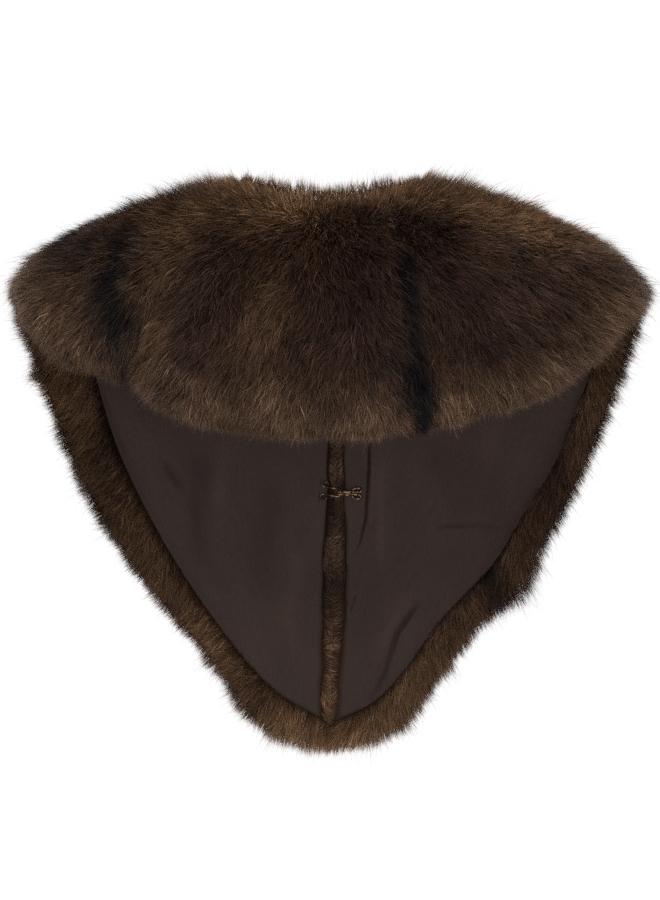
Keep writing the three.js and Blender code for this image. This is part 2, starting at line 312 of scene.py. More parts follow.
def outside_coat(turn, fall):
    """The outside of a panel, where the hair lies down towards the hem and parts at the neck."""
    ways = directions(turn, fall)
    place = leaned(skin(turn, fall) + ways.out * tall(PELT_SHARE * pile_depth(turn)), turn)
    top = 1 - eased(fall / 0.3)
    crest = 1 - eased((fall - 0.2) / 0.5)
    shoulder = bell(np.abs(turn) - 72, 22) * bell(fall - 0.5, 0.22)
    hump = bell(np.abs(turn) - 80, 24) * bell(fall - 0.05, 0.17)
    length = 1 - 0.3 * top - 0.42 * shoulder + 0.22 * hump
    stand = 36 + 14 * crest + 18 * top + 8 * shoulder + 4 * hump
    edge = eased((fall + 0.035 * waves(place, 0.03, 8) - 0.8) / 0.22) ** 1.5
    nape = bell(turn, 30) * bell(fall - 0.2, 0.18)
    # Painted light: the top and the nape are painted lighter, where the standing hair lies in shade; the shoulders are
    # painted lighter too, the right one most.
    light = 1 + 0.3 * top + shoulder * np.where(turn > 0, 0.9, 0.2) + 0.75 * nape
    return Coat(place, ways.out, ways.down, turn, fall, length, stand, 0.1, edge, light=light)


def brow_coat(turn, angle, fall, reach):
    """The places of a rounded brow past an edge, with the ways out of it and away from the edge there. over is how
    far round the brow stands past the edge, from 0 to 1."""
    ways = directions(turn, fall)
    side = 1 if fall > 0.5 else -1
    depth = PELT_SHARE * pile_depth(turn) / 2
    reach = PELT_SHARE * reach * MM
    over, up = np.cos(np.radians(angle)), np.sin(np.radians(angle))
    away = side * ways.away
    place = skin(turn, fall) + away * tall(reach * over) + ways.out * tall(depth * (1 + up))
    facing = unit(away * tall(depth * over) + ways.out * tall(reach * up))
    return leaned(place, turn), facing, away, over, ways


def edge_coat(turn, angle):
    """The rounded brow past the outer edge, from the inside at -90 to the outside at 90."""
    place, facing, away, over, ways = brow_coat(turn, angle, 1, EDGE_FUR_REACH)
    lay = unit(away + 0.2 * facing + ways.ring * tall(0.95 * along_rim(turn)))
    tip = bell(np.abs(turn) - 171, 6)
    slope = bell(turn - 146, 5) - 0.35 * bell(turn - 152, 2) + 0.5 * bell(turn - 159, 5)
    shoulder = bell(np.abs(turn) - 84, 9)
    length = blend(0.95, 0.62, over ** 1.5) * (1 + 0.28 * tip + 0.75 * slope - 0.25 * shoulder)
    light = 1 + 0.45 * bell(np.abs(turn) - 178, 6)
    return Coat(place, facing, lay, turn, 1, length, 30, 0.12, 1, light=light)


def neck_coat(turn, angle):
    """The rounded brow past the neck edge, whose hair stands up and outward."""
    place, facing, away, over, ways = brow_coat(turn, angle, 0, NECK_FUR_REACH)
    lay = unit(0.35 * away + 0.65 * ways.out)
    length = blend(0.85, 0.65, over) * (1 - 0.5 * bell(np.abs(turn) - 88, 22))
    # Painted light: the standing hair of the neck's brow is painted half as light again, for the light that falls on
    # it.
    return Coat(place, facing, lay, turn, 0, length, 56, light=1.5)


def along_rim(turn):
    """How far the hair of the rim is combed along it towards the tip, which it is on the right front."""
    return eased((turn - 100) / 30) * (1 - 0.75 * eased((turn - 160) / 12))


def inner_edge_coat(turn, share):
    """The fur that lies inside the outer edge beyond the lining, combed outward. It lies flatter on the right front."""
    fall = blend(lining_falls(turn)[1] - 0.01, 1, share)
    ways = directions(turn, fall)
    place = leaned(skin(turn, fall), turn)
    lay = unit(ways.away + ways.ring * tall(1.1 * along_rim(turn)))
    length = 1 - (1 - share) ** 2 * blend(0.3, 0.45, along_rim(turn))
    stand = blend(31, 22, along_rim(turn)) + 12 * (1 - share)
    # Painted shadow: the fur is darkened at its foot next to the lining's edge, where the lining shades it.
    shadow = 0.8 * bell(share, 0.12)
    return Coat(place, -ways.out, lay, turn, fall, length, stand, 0.2, 1, shadow)


def inner_neck_coat(turn, share):
    """The fur inside the neck edge, above the lining."""
    fall = share * lining_falls(turn)[0]
    ways = directions(turn, fall)
    place = leaned(skin(turn, fall), turn)
    return Coat(place, -ways.out, -ways.away, turn, fall, 0.5, 40)


# Painted highlights where the sleek fur of the closing glints and, below nought, painted shade where it lies dark, up
# and down it.
Glint = namedtuple("Glint", "height spread light")
CLOSING_GLINTS = (
    Glint(-150, 5, 0.8),
    Glint(-186, 13, -0.4),
    Glint(-214, 8, 0.6),
    Glint(-248, 16, -0.3),
    Glint(-286, 5, 1),
    Glint(-306, 7, 0.2),
    Glint(-322, 5, 0.5),
)


def closing_coat(side):
    """The fur between a front's lining and the closing line, short and brushed across."""
    def coat(fall, share):
        turn = blend(turn_beside(side, fall) - side * 0.1, side * FRONT_TURN, share)
        ways = directions(turn, fall)
        place = leaned(skin(turn, fall), turn)
        swirl = waves(place, 0.022, 31)
        lay = unit(side * ways.ring + ways.down * tall(0.15 + 0.55 * swirl))
        length = 0.46 - 0.2 * share
        # Painted shadow along the lining's edge, and painted highlights and shade up and down the closing.
        shadow = bell(share, 0.07) * 0.8
        height = place[..., 2] / MM
        light = 0.9 + sum(row.light * bell(height - row.height, row.spread) for row in CLOSING_GLINTS)
        return Coat(place, -ways.out, lay, turn, fall, length, 9 + 12 * share, 0.05, 0, shadow, light)
    return coat


def closing_wall_coat(side):
    """The hair between the two fronts, which closes the line where they meet."""
    def coat(fall, share):
        turn = side * FRONT_TURN + 0 * fall
        ways = directions(turn, fall)
        place = leaned(skin(turn, fall) + ways.out * tall(PELT_SHARE * pile_depth(turn) * share), turn)
        lay = unit(ways.down - 0.5 * ways.out)
        # Painted shade: the hair between the fronts is darkened where they meet.
        return Coat(place, side * ways.ring, lay, turn, fall, 0.35, 6, edge=0.6, shadow=0.2)
    return coat


# A stretch of fur: coat(a, b) for a and b in the spans first and second, how densely it is set and how wide its hairs
# are beside the rest.
Zone = namedtuple("Zone", "coat first second density width")


def zones_of(panel, start, end):
    """The stretches of fur of a panel between two turns."""
    turns = (start, end)
    if panel is BACK:
        return [
            Zone(outside_coat, turns, (0, 1), 1, 1),
            Zone(edge_coat, turns, (-90, 90), 2.4, 0.5),
            Zone(neck_coat, turns, (-90, 90), 1.6, 0.9),
            Zone(inner_edge_coat, turns, (0, 1), 1.2, 0.75),
            Zone(inner_neck_coat, turns, (0, 1), 0.4, 0.9),
        ]
    return [
        Zone(outside_coat, turns, (0, 1), 0.55, 1.1),
        Zone(edge_coat, turns, (-90, 90), 3, 0.75),
        Zone(neck_coat, turns, (-90, 90), 0.6, 0.9),
        Zone(inner_edge_coat, turns, (0, 1), 3.2, 0.8),
        Zone(inner_neck_coat, turns, (0, 1), 0.3, 1),
        Zone(closing_coat(np.sign(end)), (0.02, 0.98), (0, 1), 2.2, 1.4),
        Zone(closing_wall_coat(np.sign(end)), (0, 1), (0, 1), 4, 1.3),
    ]


def grid_of(zone, cells):
    """The corners of a zone's grid of cells and the area of each cell."""
    a = np.linspace(*zone.first, cells[0] + 1)
    b = np.linspace(*zone.second, cells[1] + 1)
    corners = zone.coat(*np.meshgrid(a, b, indexing="ij")).place
    along = corners[1:, :-1] - corners[:-1, :-1]
    across = corners[:-1, 1:] - corners[:-1, :-1]
    return a, b, np.linalg.norm(np.cross(along, across), axis=-1)


def scatter(zone, grid, count, rng):
    """Roots spread evenly by area over a zone."""
    a, b, areas = grid
    total = np.cumsum(areas.ravel())
    picks = (np.arange(count) + rng.random(count)) / count * total[-1]
    i, j = np.divmod(np.searchsorted(total, picks).clip(0, areas.size - 1), areas.shape[1])
    first = blend(a[i], a[i + 1], rng.random(count))
    second = blend(b[j], b[j + 1], rng.random(count))
    return zone.coat(first, second)


# The dark stripes of the coat, from their turn at the neck to their turn at the hem.
Stripe = namedtuple("Stripe", "neck_turn hem_turn half_width first last depth")
STRIPES = (
    Stripe(28, 18.5, 2.5, 0.46, 0.96, 1.25),
    Stripe(21.5, 18, 2.6, 0.85, 1.1, 0.8),
    Stripe(34, 22, 3.2, 0.1, 0.5, 0.45),
    Stripe(-87, -50, 4.2, 0.5, 1.15, 1),
    Stripe(-75, -80, 4.5, 0.55, 0.74, 0.4),
    # The next row is painted shade in the notch of the right front's rim.
    Stripe(150.5, 149.5, 2.2, 0.9, 1.1, 0.7),
    Stripe(-126, -131, 3, 0.2, 0.95, 0.4),
    Stripe(118, 123, 3, 0.15, 0.95, 0.4),
)

# Patches where the coat is golden or, below nought, deeper and redder. The golden ones along the neck's rim, on the
# peaks of the top and on the fronts' rims are partly painted light.
Patch = namedtuple("Patch", "turn fall turn_spread fall_spread gold")
PATCHES = (
    Patch(0, 0, 220, 0.1, 1),
    Patch(-30, 0.15, 17, 0.17, 1),
    Patch(46, 0.14, 13, 0.1, 0.5),
    Patch(-66, 0.3, 22, 0.16, 0.5),
    Patch(72, 0.34, 22, 0.24, 1.1),
    Patch(26, 1, 8, 0.12, 0.5),
    Patch(-14, 0.72, 7, 0.25, 0.3),
    Patch(-34, 0.62, 8, 0.25, -0.4),
    Patch(8, 0.55, 14, 0.3, -0.9),
    Patch(40, 0.62, 18, 0.3, -0.8),
    Patch(66, 0.72, 9, 0.15, -0.3),
    Patch(80, 1, 17, 0.22, 0.3),
    Patch(-52, 0.55, 8, 0.3, 0.35),
    Patch(-68, 0.96, 8, 0.14, 0.45),
    Patch(-86, 1, 11, 0.2, 0.6),
    Patch(-42, 0.9, 8, 0.14, 0.6),
    Patch(119, 1, 18, 0.3, 0.2),
    Patch(-120, 1, 26, 0.2, 0.4),
    Patch(178, 1, 20, 0.2, 1),
    Patch(-178, 1, 26, 0.2, 0.9),
    Patch(-150, 0.45, 22, 0.3, -0.4),
    Patch(158, 0.3, 20, 0.3, 0.4),
)

PALE_HEM_END = 112
STRIPE_FADE = 0.15


def marks_of(coat):
    """How golden, how hem-pale and how striped the coat is at each root. The stripe mask also carries the painted
    shadow at the fur's foot, and the gold is partly painted light on the rims and the top.
    """
    gold = 0.1 * coat.edge + 0.16 * waves(coat.place, 0.05, 5)
    for patch in PATCHES:
        share = bell(coat.turn - patch.turn, patch.turn_spread) * bell(coat.fall - patch.fall, patch.fall_spread)
        gold = gold + patch.gold * share
    # Painted shadow: the shadow at the fur's foot goes into the stripe mask, so it is painted in the stripes' dark
    # colour.
    stripe = coat.shadow + np.zeros_like(gold)
    for row in STRIPES:
        middle = blend(row.neck_turn, row.hem_turn, coat.fall)
        middle = middle + 1.1 * waves(coat.place, 0.03, 6) + 1.3 * waves(coat.place, 0.004, 9)
        begun = eased((coat.fall - row.first) / STRIPE_FADE + 1)
        lasting = eased((row.last - coat.fall) / STRIPE_FADE + 1)
        stripe = stripe + row.depth * (begun * lasting) * bell(coat.turn - middle, row.half_width)
    hem = np.where(np.abs(coat.turn) < PALE_HEM_END, coat.edge, 0)
    return {"gold": np.clip(gold, -1, 1), "hem": np.clip(hem, 0, 1), "stripe": np.clip(stripe, 0, 1)}


def combed(coat, rng, look, loose):
    """The way each hair leans after wind and wear: two sizes of swirl and its own small turn."""
    side = unit(np.cross(coat.facing, coat.lay))
    turn = (
        np.radians(look.flow) * waves(coat.place, 0.07, 11)
        + np.radians(look.ruffle) * waves(coat.place, 0.016, 12)
        + np.radians(loose) * rng.normal(size=len(coat.turn))
    )
    lay = coat.lay * tall(np.cos(turn)) + side * tall(np.sin(turn))
    lay[..., 2] -= coat.droop
    return unit(lay)


def lengths(coat, rng, look, spread):
    swell = 1 + 0.14 * waves(coat.place, 0.02, 13)
    return look.length * coat.length * swell * (1 + spread * (rng.random(len(coat.turn)) - 0.6))


def curves_of(coat, lay, length, stand, curl):
    """The point that steers each hair and its tip. A hair stands steeper at its root than its angle at the tip, and
    curl bows it to one side."""
    def lifted(degrees):
        angle = np.radians(np.clip(degrees, 4, 86))
        return unit(lay * tall(np.cos(angle)) + coat.facing * tall(np.sin(angle)))
    side = unit(np.cross(coat.facing, lay))
    bend = coat.place + lifted(stand + 26) * tall(0.5 * length) + side * tall(curl * length)
    tip = coat.place + lifted(stand) * tall(0.97 * length)
    return bend, tip


def tufted(zone, grid, coat, bend, tip, rng, look, hold):
    """Draws the tips of neighbouring hairs together into soft locks, as far as hold lets them."""
    count = max(8, int(grid[2].sum() / look.tuft ** 2))
    lead = scatter(zone, grid, count, rng)
    size = len(lead.turn)
    lead_lay = combed(lead, rng, look, 9)
    lead_length = lengths(lead, rng, look, 0.2)
    lead_stand = lead.stand + 8 * rng.normal(size=size)
    steer = curves_of(lead, lead_lay, lead_length, lead_stand, 0.1 * rng.normal(size=size))
    tree = KDTree(size)
    for k, point in enumerate(lead.place):
        tree.insert(point, k)
    tree.balance()
    nearest = np.fromiter((tree.find(point)[1] for point in coat.place), int, len(coat.turn))
    pull = hold * look.tuft_pull * rng.uniform(0.4, 1, len(coat.turn))
    share = rng.normal(size=size)[nearest]
    return blend(bend, steer[0][nearest], tall(0.35 * pull)), blend(tip, steer[1][nearest], tall(pull)), share


# A hair of the wool is two triangles, from a point at the root over its widest place to the tip. A guard hair is four.
# width and length are shares of the look's, light how light it is beside the coat's colour and uneven how much that
# varies, loose its own turn in degrees, hold how much it keeps to its lock, curl how much it bows and stray the share
# that is longer than the rest.
Blade = namedtuple("Blade", "stations widths width length light uneven loose hold curl stray")
WOOL = Blade((0, 0.38, 1), (0, 1, 0), 1.05, 0.94, 0.77, 0.3, 13, 1, 0.05, 0)
GUARD = Blade((0, 0.3, 0.66, 1), (0, 1, 0.8, 0), 0.72, 1.1, 1.4, 0.34, 16, 0.6, 0.11, 0.12)


def blades(blade, coat, bend, tip, width, rng):
    """The points, normals, shares along the hair and triangles of a blade for each hair. A hair that lies down shows
    its upper side, and one that stands shows the side it leans to."""
    count = len(coat.turn)
    roll = np.radians(rng.uniform(-50, 50, count))
    standing = (unit(tip - coat.place) * coat.facing).sum(-1) > 0.8
    shown = np.where(standing, -1, 1)
    points, normals, along = [], [], []
    for s, wide in zip(blade.stations, blade.widths):
        centre = coat.place * (1 - s) ** 2 + bend * 2 * s * (1 - s) + tip * s * s
        run = unit((bend - coat.place) * (1 - s) + (tip - bend) * s)
        up = unit(coat.facing - run * (coat.facing * run).sum(-1, keepdims=True)) * tall(shown)
        across = np.cross(up, run) * tall(np.cos(roll)) + up * tall(np.sin(roll))
        normal = unit(np.cross(run, across) + 0.7 * coat.facing)
        for side in (-1, 1) if wide else (0,):
            points.append(centre + across * tall(side * wide * width / 2))
            normals.append(unit(normal + 0.25 * side * across))
            along.append(np.full(count, float(s)))
    size = len(points)
    faces = [(0, 1, 2)]
    for k in range(1, size - 3, 2):
        faces += [(k, k + 2, k + 1), (k + 1, k + 2, k + 3)]
    faces.append((size - 3, size - 1, size - 2))
    index = np.arange(count)[:, None, None] * size + np.array(faces)
    return (
        np.stack(points, 1).reshape(-1, 3),
        np.stack(normals, 1).reshape(-1, 3),
        np.stack(along, 1).ravel(),
        index.reshape(-1, 3),
        size,
    )


# The depth to the front and to the back beyond which wisps bend over, and how far.
WISP_DEPTH = 131
WISP_BEND = 0.6

STRAY_LENGTH = 1.35


def hair_of(zone, grid, count, look, rng, blade):
    coat = scatter(zone, grid, count, rng)
    lay = combed(coat, rng, look, blade.loose)
    length = lengths(coat, rng, look, 0.5) * blade.length
    length = length * np.where(rng.random(count) < blade.stray, STRAY_LENGTH, 1)
    stand = coat.stand + 11 * rng.normal(size=count)
    bend, tip = curves_of(coat, lay, length, stand, blade.curl * rng.normal(size=count))
    bend, tip, lock = tufted(zone, grid, coat, bend, tip, rng, look, blade.hold)
    for point in (bend, tip):
        beyond = np.maximum(np.abs(point[:, 1]) - WISP_DEPTH * MM, 0)
        point[:, 1] -= WISP_BEND * np.sign(point[:, 1]) * beyond
    wide = look.width * zone.width * blade.width * rng.uniform(0.6, 1.3, count)
    points, normals, along, faces, size = blades(blade, coat, bend, tip, wide, rng)
    varied = blade.uneven * rng.normal(size=count) + 0.28 * lock + 0.16 * waves(coat.place, 0.06, 14)
    values = {**marks_of(coat), "shade": blade.light * coat.light * np.exp(varied)}
    values = {name: np.repeat(value, size) for name, value in values.items()}
    return points, normals, faces, {**values, "along": along}


def hair_piece(name, panel, start, end, triangles, look, seed):
    """All the hair of a panel between two turns as one joined mesh."""
    rng = np.random.default_rng(seed)
    zones = zones_of(panel, start, end)
    grids = [grid_of(zone, (160, 24)) for zone in zones]
    shares = np.array([zone.density * grid[2].sum() for zone, grid in zip(zones, grids)])
    shares /= shares.sum()
    guard_triangles = look.guard_share * triangles
    amounts = ((WOOL, triangles - guard_triangles), (GUARD, guard_triangles))
    parts = []
    for zone, grid, share in zip(zones, grids, shares):
        for blade, amount in amounts:
            each = 2 * (len(blade.stations) - 2)
            parts.append(hair_of(zone, grid, int(share * amount / each), look, rng, blade))
    points = np.concatenate([part[0] for part in parts])
    normals = np.concatenate([part[1] for part in parts])
    starts = np.cumsum([0] + [len(part[0]) for part in parts[:-1]])
    faces = np.concatenate([part[2] + first for part, first in zip(parts, starts)])
    values = {key: np.concatenate([part[3][key] for part in parts]) for key in parts[0][3]}
    return joined_mesh(name, points, normals, faces, values)


def joined_mesh(name, points, normals, faces, values):
    mesh = bpy.data.meshes.new(name)
    mesh.vertices.add(len(points))
    mesh.vertices.foreach_set("co", points.astype(np.float32).ravel())
    mesh.loops.add(faces.size)
    mesh.loops.foreach_set("vertex_index", faces.astype(np.int32).ravel())
    mesh.polygons.add(len(faces))
    mesh.polygons.foreach_set("loop_start", np.arange(0, faces.size, 3, dtype=np.int32))
    for key, value in values.items():
        mesh.attributes.new(key, "FLOAT", "POINT").data.foreach_set("value", value.astype(np.float32))
    mesh.update()
    mesh.normals_split_custom_set_from_vertices(normals.astype(np.float32))
    return placed(name, mesh)


def placed(name, data):
    """A new object of the scene, at the origin."""
    piece = bpy.data.objects.new(name, data)
    bpy.context.scene.collection.objects.link(piece)
    return piece


def mapped_grid(columns, rows, place, refined=None):
    """A grid of quads with each point set by place(u, v), for u and v from 0 to 1. It is finer where refined(u, v)."""
    bm = bmesh.new()
    bmesh.ops.create_grid(bm, x_segments=columns, y_segments=rows, size=0.5)

    def spots():
        return np.array([vert.co[:2] for vert in bm.verts]) + 0.5
    if refined:
        chosen = {vert for vert, fine in zip(bm.verts, refined(*spots().T)) if fine}
        edges = [edge for edge in bm.edges if chosen.issuperset(edge.verts)]
        bmesh.ops.subdivide_edges(bm, edges=edges, cuts=3, use_grid_fill=True)
    uv = spots()
    for vert, point in zip(bm.verts, place(uv[:, 0], uv[:, 1])):
        vert.co = point
    return bm, uv


# The shares of a pelt's way round its wall: the inside, the brow at the hem, the outside and the brow at the neck.
PELT_INSIDE = 0.36
PELT_HEM = 0.5
PELT_OUTSIDE = 0.88

# How far the underfur of each front reaches towards the other, which all but closes the gap between the two, and how
# far the underfur swells past the roots of the hair at the outer edge.
UNDERFUR_CLOSING = 0.13
UNDERFUR_FULLNESS = 3.5


def pelt_place(panel, u, v):
    """The places of a pelt's wall and the coat that grows there."""
    parts = [v < PELT_INSIDE, v < PELT_HEM, v < PELT_OUTSIDE]
    inside = v / PELT_INSIDE
    outside = 1 - (v - PELT_HEM) / (PELT_OUTSIDE - PELT_HEM)
    hem_angle = -90 + 180 * np.clip((v - PELT_INSIDE) / (PELT_HEM - PELT_INSIDE), 0, 1)
    neck_angle = 90 - 180 * np.clip((v - PELT_OUTSIDE) / (1 - PELT_OUTSIDE), 0, 1)
    fall = np.select(parts, [inside, 1 + 0 * v, outside], 0 * v)
    turn = blend(seam_turn(panel, fall, True), seam_turn(panel, fall, False), u)
    hem = edge_coat(turn, hem_angle)
    full = hem.place + hem.facing * tall(UNDERFUR_FULLNESS * MM * np.cos(np.radians(hem_angle)))
    out = outside_coat(turn, fall)
    within = leaned(skin(turn, fall), turn)
    place = np.select([tall(part) for part in parts], [within, full, out.place], neck_coat(turn, neck_angle).place)
    place[..., 0] -= np.sign(turn) * near_closing(turn) * UNDERFUR_CLOSING * MM
    edge = np.select(parts, [0 * v, 1 + 0 * v, out.edge], 0 * v)
    return out._replace(place=place, edge=edge)


# How light the underfur is beside the hair, and the place along a hair whose colour it has, with the darkening towards
# the root there, which is partly painted shade.
UNDERFUR_SHADE = 0.8
UNDERFUR_ALONG = 0.25


def pelt_piece(panel, columns):
    """The skin with its underfur, as one closed wall."""
    coats = []

    def place(u, v):
        coats.append(pelt_place(panel, u, v))
        return coats[0].place
    bm, _ = mapped_grid(columns, 50, place)
    values = marks_of(coats[0])
    size = len(bm.verts)
    values |= {"shade": np.full(size, UNDERFUR_SHADE), "along": np.full(size, UNDERFUR_ALONG)}
    layers = {key: bm.verts.layers.float.new(key) for key in values}
    for k, vert in enumerate(bm.verts):
        for key, value in values.items():
            vert[layers[key]] = value[k]
    bmesh.ops.remove_doubles(bm, verts=bm.verts, dist=0.01 * MM)
    bmesh.ops.holes_fill(bm, edges=[edge for edge in bm.edges if edge.is_boundary], sides=0)
    bmesh.ops.recalc_face_normals(bm, faces=bm.faces)
    return finished(f"pelt_{panel.name}", bm)


def finished(name, bm):
    mesh = bpy.data.meshes.new(name)
    bm.to_mesh(mesh)
    bm.free()
    mesh.shade_smooth()
    return placed(name, mesh)


# The linings

# The creases of the linings, as paths of (x, z) in the plane across the fronts. height is how far a crease stands
# into the garment, and below nought it is a trough.
Crease = namedtuple("Crease", "panel path half_width height")
CREASES = (
    Crease("front_right", ((29, -124), (28.4, -156), (26.2, -190), (22.4, -207), (14.4, -223)), 0.7, -3),
    Crease("front_right", ((31.5, -136), (31, -170), (28.5, -200)), 1.6, 0.8),
    Crease("front_right", ((37, -136), (37.5, -200), (37, -235)), 4, 0.9),
    Crease("front_right", ((19.5, -246), (14.4, -262)), 0.9, -3),
    Crease("front_right", ((70, -246), (50, -276), (40.5, -306), (27, -330)), 1.9, -2.4),
    Crease("front_right", ((60, -244), (43, -274), (33, -304)), 4, 0.8),
    Crease("front_right", ((74, -196), (104, -195), (131, -198)), 1.6, -1),
    Crease("front_right", ((70, -120), (92, -160), (96, -205)), 9, -0.9),
    Crease("front_right", ((120, -110), (112, -150)), 8, 0.8),
    Crease("front_right", ((176, -134), (165, -154)), 3, -1.2),
    Crease("front_left", ((-96, -132), (-97, -190), (-95, -232)), 7, -1.4),
    Crease("front_left", ((-124, -146), (-107, -170)), 3.4, -1.3),
    Crease("front_left", ((-40, -150), (-52, -215), (-48, -262)), 9, -0.9),
    Crease("front_left", ((-78, -128), (-84, -186)), 6, 0.8),
    Crease("front_left", ((-22, -205), (-30, -262), (-26, -300)), 5, 0.8),
)

NARROW_CREASE = 3
FASTENER_HEIGHT = -170.5

# The cloth's slack between its seams, the ease that the fastener takes up round it, the pucker of the seams and the
# roll of the turned edge.
SLACK = 2.4
HELD_FLAT = 21
PUCKER = 0.25
EDGE_ROLL = 0.7


def steps_of(line):
    """The lengths of the straight steps of a line."""
    return np.linalg.norm(np.diff(line, axis=0), axis=1)


def added_up(steps):
    return np.concatenate(((0,), np.cumsum(steps)))


def path_distance(points, path):
    """How far points of a plane lie from a path, and the share of a crease there, which fades at its ends."""
    path = np.asarray(path, float)
    steps = steps_of(path)
    start = added_up(steps)
    nearest = np.full(len(points), np.inf)
    along = np.zeros(len(points))
    for k, step in enumerate(steps):
        way = (path[k + 1] - path[k]) / step
        t = np.clip((points - path[k]) @ way, 0, step)
        distance = np.linalg.norm(points - path[k] - tall(t) * way, axis=1)
        closer = distance < nearest
        nearest = np.where(closer, distance, nearest)
        along = np.where(closer, (start[k] + t) / start[-1], along)
    return nearest, eased(along / 0.25) * eased((1 - along) / 0.25)


def crease_heights(panel, place, look):
    """How far the cloth stands off its seat at each point, into the garment."""
    plane = place[:, (0, 2)] / MM
    height = np.zeros(len(place))
    for crease in CREASES:
        if crease.panel == panel.name:
            distance, share = path_distance(plane, crease.path)
            height += crease.height * share * bell(distance, crease.half_width)
    return height * MM * look.crease_depth


def lining_turn(panel, fall, u):
    """The turn at a share u of the way across a lining, at each fall."""
    start = seam_turn(panel, fall, True)
    if panel is BACK:
        return blend(start, seam_turn(panel, fall, False), u)
    return blend(start, turn_beside(np.sign(panel.end), fall), u)


def lining_spot(panel, u, v):
    """The turn and the fall of a point of a lining, for u across it and v down it."""
    first, last = lining_falls(lining_turn(panel, 0.5 + 0 * u, u))
    fall = blend(first, last, v)
    return lining_turn(panel, fall, u), fall


def lining_piece(panel, columns, rows, look):
    """A lining, as a thin shell on the skin with a turned edge, soft fullness and creases."""
    heights = []

    def place(u, v):
        turn, fall = lining_spot(panel, u, v)
        ways = directions(turn, fall)
        seat = leaned(skin(turn, fall) - ways.out * SEAM_GAP * MM, turn)
        to_seam = np.minimum(v, 1 - v)
        fastener = np.linalg.norm(seat[:, (0, 2)] / MM - (0, FASTENER_HEIGHT), axis=1)
        free = eased(np.minimum(np.minimum(u, 1 - u) * 8, to_seam * 5)) * (1 - bell(fastener, HELD_FLAT))
        creases = crease_heights(panel, seat, look)
        full = SLACK * MM * look.fullness * free * (1 + 0.3 * waves(seat, 0.06, 21))
        pucker = PUCKER * MM * look.fullness * waves(seat, 0.012, 22) * bell(to_seam, 0.06)
        roll = EDGE_ROLL * MM * bell(to_seam, 0.02)
        height = full + np.abs(pucker) + roll + creases * free
        heights.append(creases / MM)
        return seat - ways.out * tall(np.maximum(height, 0) + LINING_WALL * MM)

    def beside_crease(u, v):
        turn, fall = lining_spot(panel, u, v)
        plane = leaned(skin(turn, fall), turn)[:, (0, 2)] / MM
        near = np.zeros(len(u), bool)
        for crease in CREASES:
            if crease.panel == panel.name and crease.half_width < NARROW_CREASE:
                near |= path_distance(plane, crease.path)[0] < 2 * crease.half_width + 2
        return near
    bm, uv = mapped_grid(columns, rows, place, beside_crease)
    # The crease heights go along for the satin's painted shade in the troughs and painted light on the ridges.
    fold = bm.verts.layers.float.new("fold")
    for vert, height in zip(bm.verts, heights[0]):
        vert[fold] = height
    cloth = bm.loops.layers.uv.new("cloth")
    size = cloth_size(panel)
    where = {vert: spot * size for vert, spot in zip(bm.verts, uv)}
    for face in bm.faces:
        for loop in face.loops:
            loop[cloth].uv = where[loop.vert]
    inside_out = sum(face.normal.dot(inward(face.calc_center_median())) * face.calc_area() for face in bm.faces) < 0
    if inside_out:
        bmesh.ops.reverse_faces(bm, faces=bm.faces)
    piece = finished(f"satin_{panel.name}", bm)
    wall = piece.modifiers.new("wall", "SOLIDIFY")
    wall.thickness = LINING_WALL * MM
    wall.offset = -1
    return piece


def inward(point):
    """The way from a place of the wrap to the middle of its hollow."""
    return (Vector((0, 0, point.z)) - point).normalized()


def cloth_size(panel):
    """The width and length of a lining's cloth in metres, for its weave."""
    middle = 0 if panel is BACK else blend(panel.start, panel.end, 0.6)
    across = skin(np.linspace(panel.start, panel.end, 80), 0.5)
    long = skin(middle, np.linspace(0, 1, 40))
    return np.array([steps_of(line).sum() for line in (across, long)])


# The hook and the eye

# Where the eye's bar, the bill's end and the loops' end lie, across from the closing line.
BAR_ACROSS = 3.8
SHANK_HALF_GAP = 0.9
BILL_END = 10.6
LOOP_END = 19.4
HOOK_TILT = -4
EYE_TILT = -8
STITCH_LIFT = 0.35

# How high the middle of the wire lies over the cloth, and of one wire over another.
SEAT = SEAM_GAP + WIRE_DIAMETER / 2
LAYER = SEAM_GAP + WIRE_DIAMETER


def fastener_plane(tilt):
    """The plane where the fastener sits: its matrix takes (across, up, in), in millimetres, to the garment."""
    high, low = 0.0, 1.0
    for _ in range(30):
        middle = (high + low) / 2
        if skin(FRONT_TURN, middle)[2] > FASTENER_HEIGHT * MM:
            high = middle
        else:
            low = middle
    out = directions(np.array(float(FRONT_TURN)), np.array(high)).out
    place = skin(FRONT_TURN, high) - out * (SEAM_GAP + LINING_WALL) * MM
    place[0] += lean_at(place[2]) * MM
    into = Vector(-out)
    across = Vector((1, 0, 0))
    up = into.cross(across).normalized()
    axes = Matrix((across, up, into)).transposed().to_4x4()
    return Matrix.Translation(Vector(place)) @ axes @ Matrix.Rotation(radians(tilt), 4, "Z") @ Matrix.Scale(MM, 4)


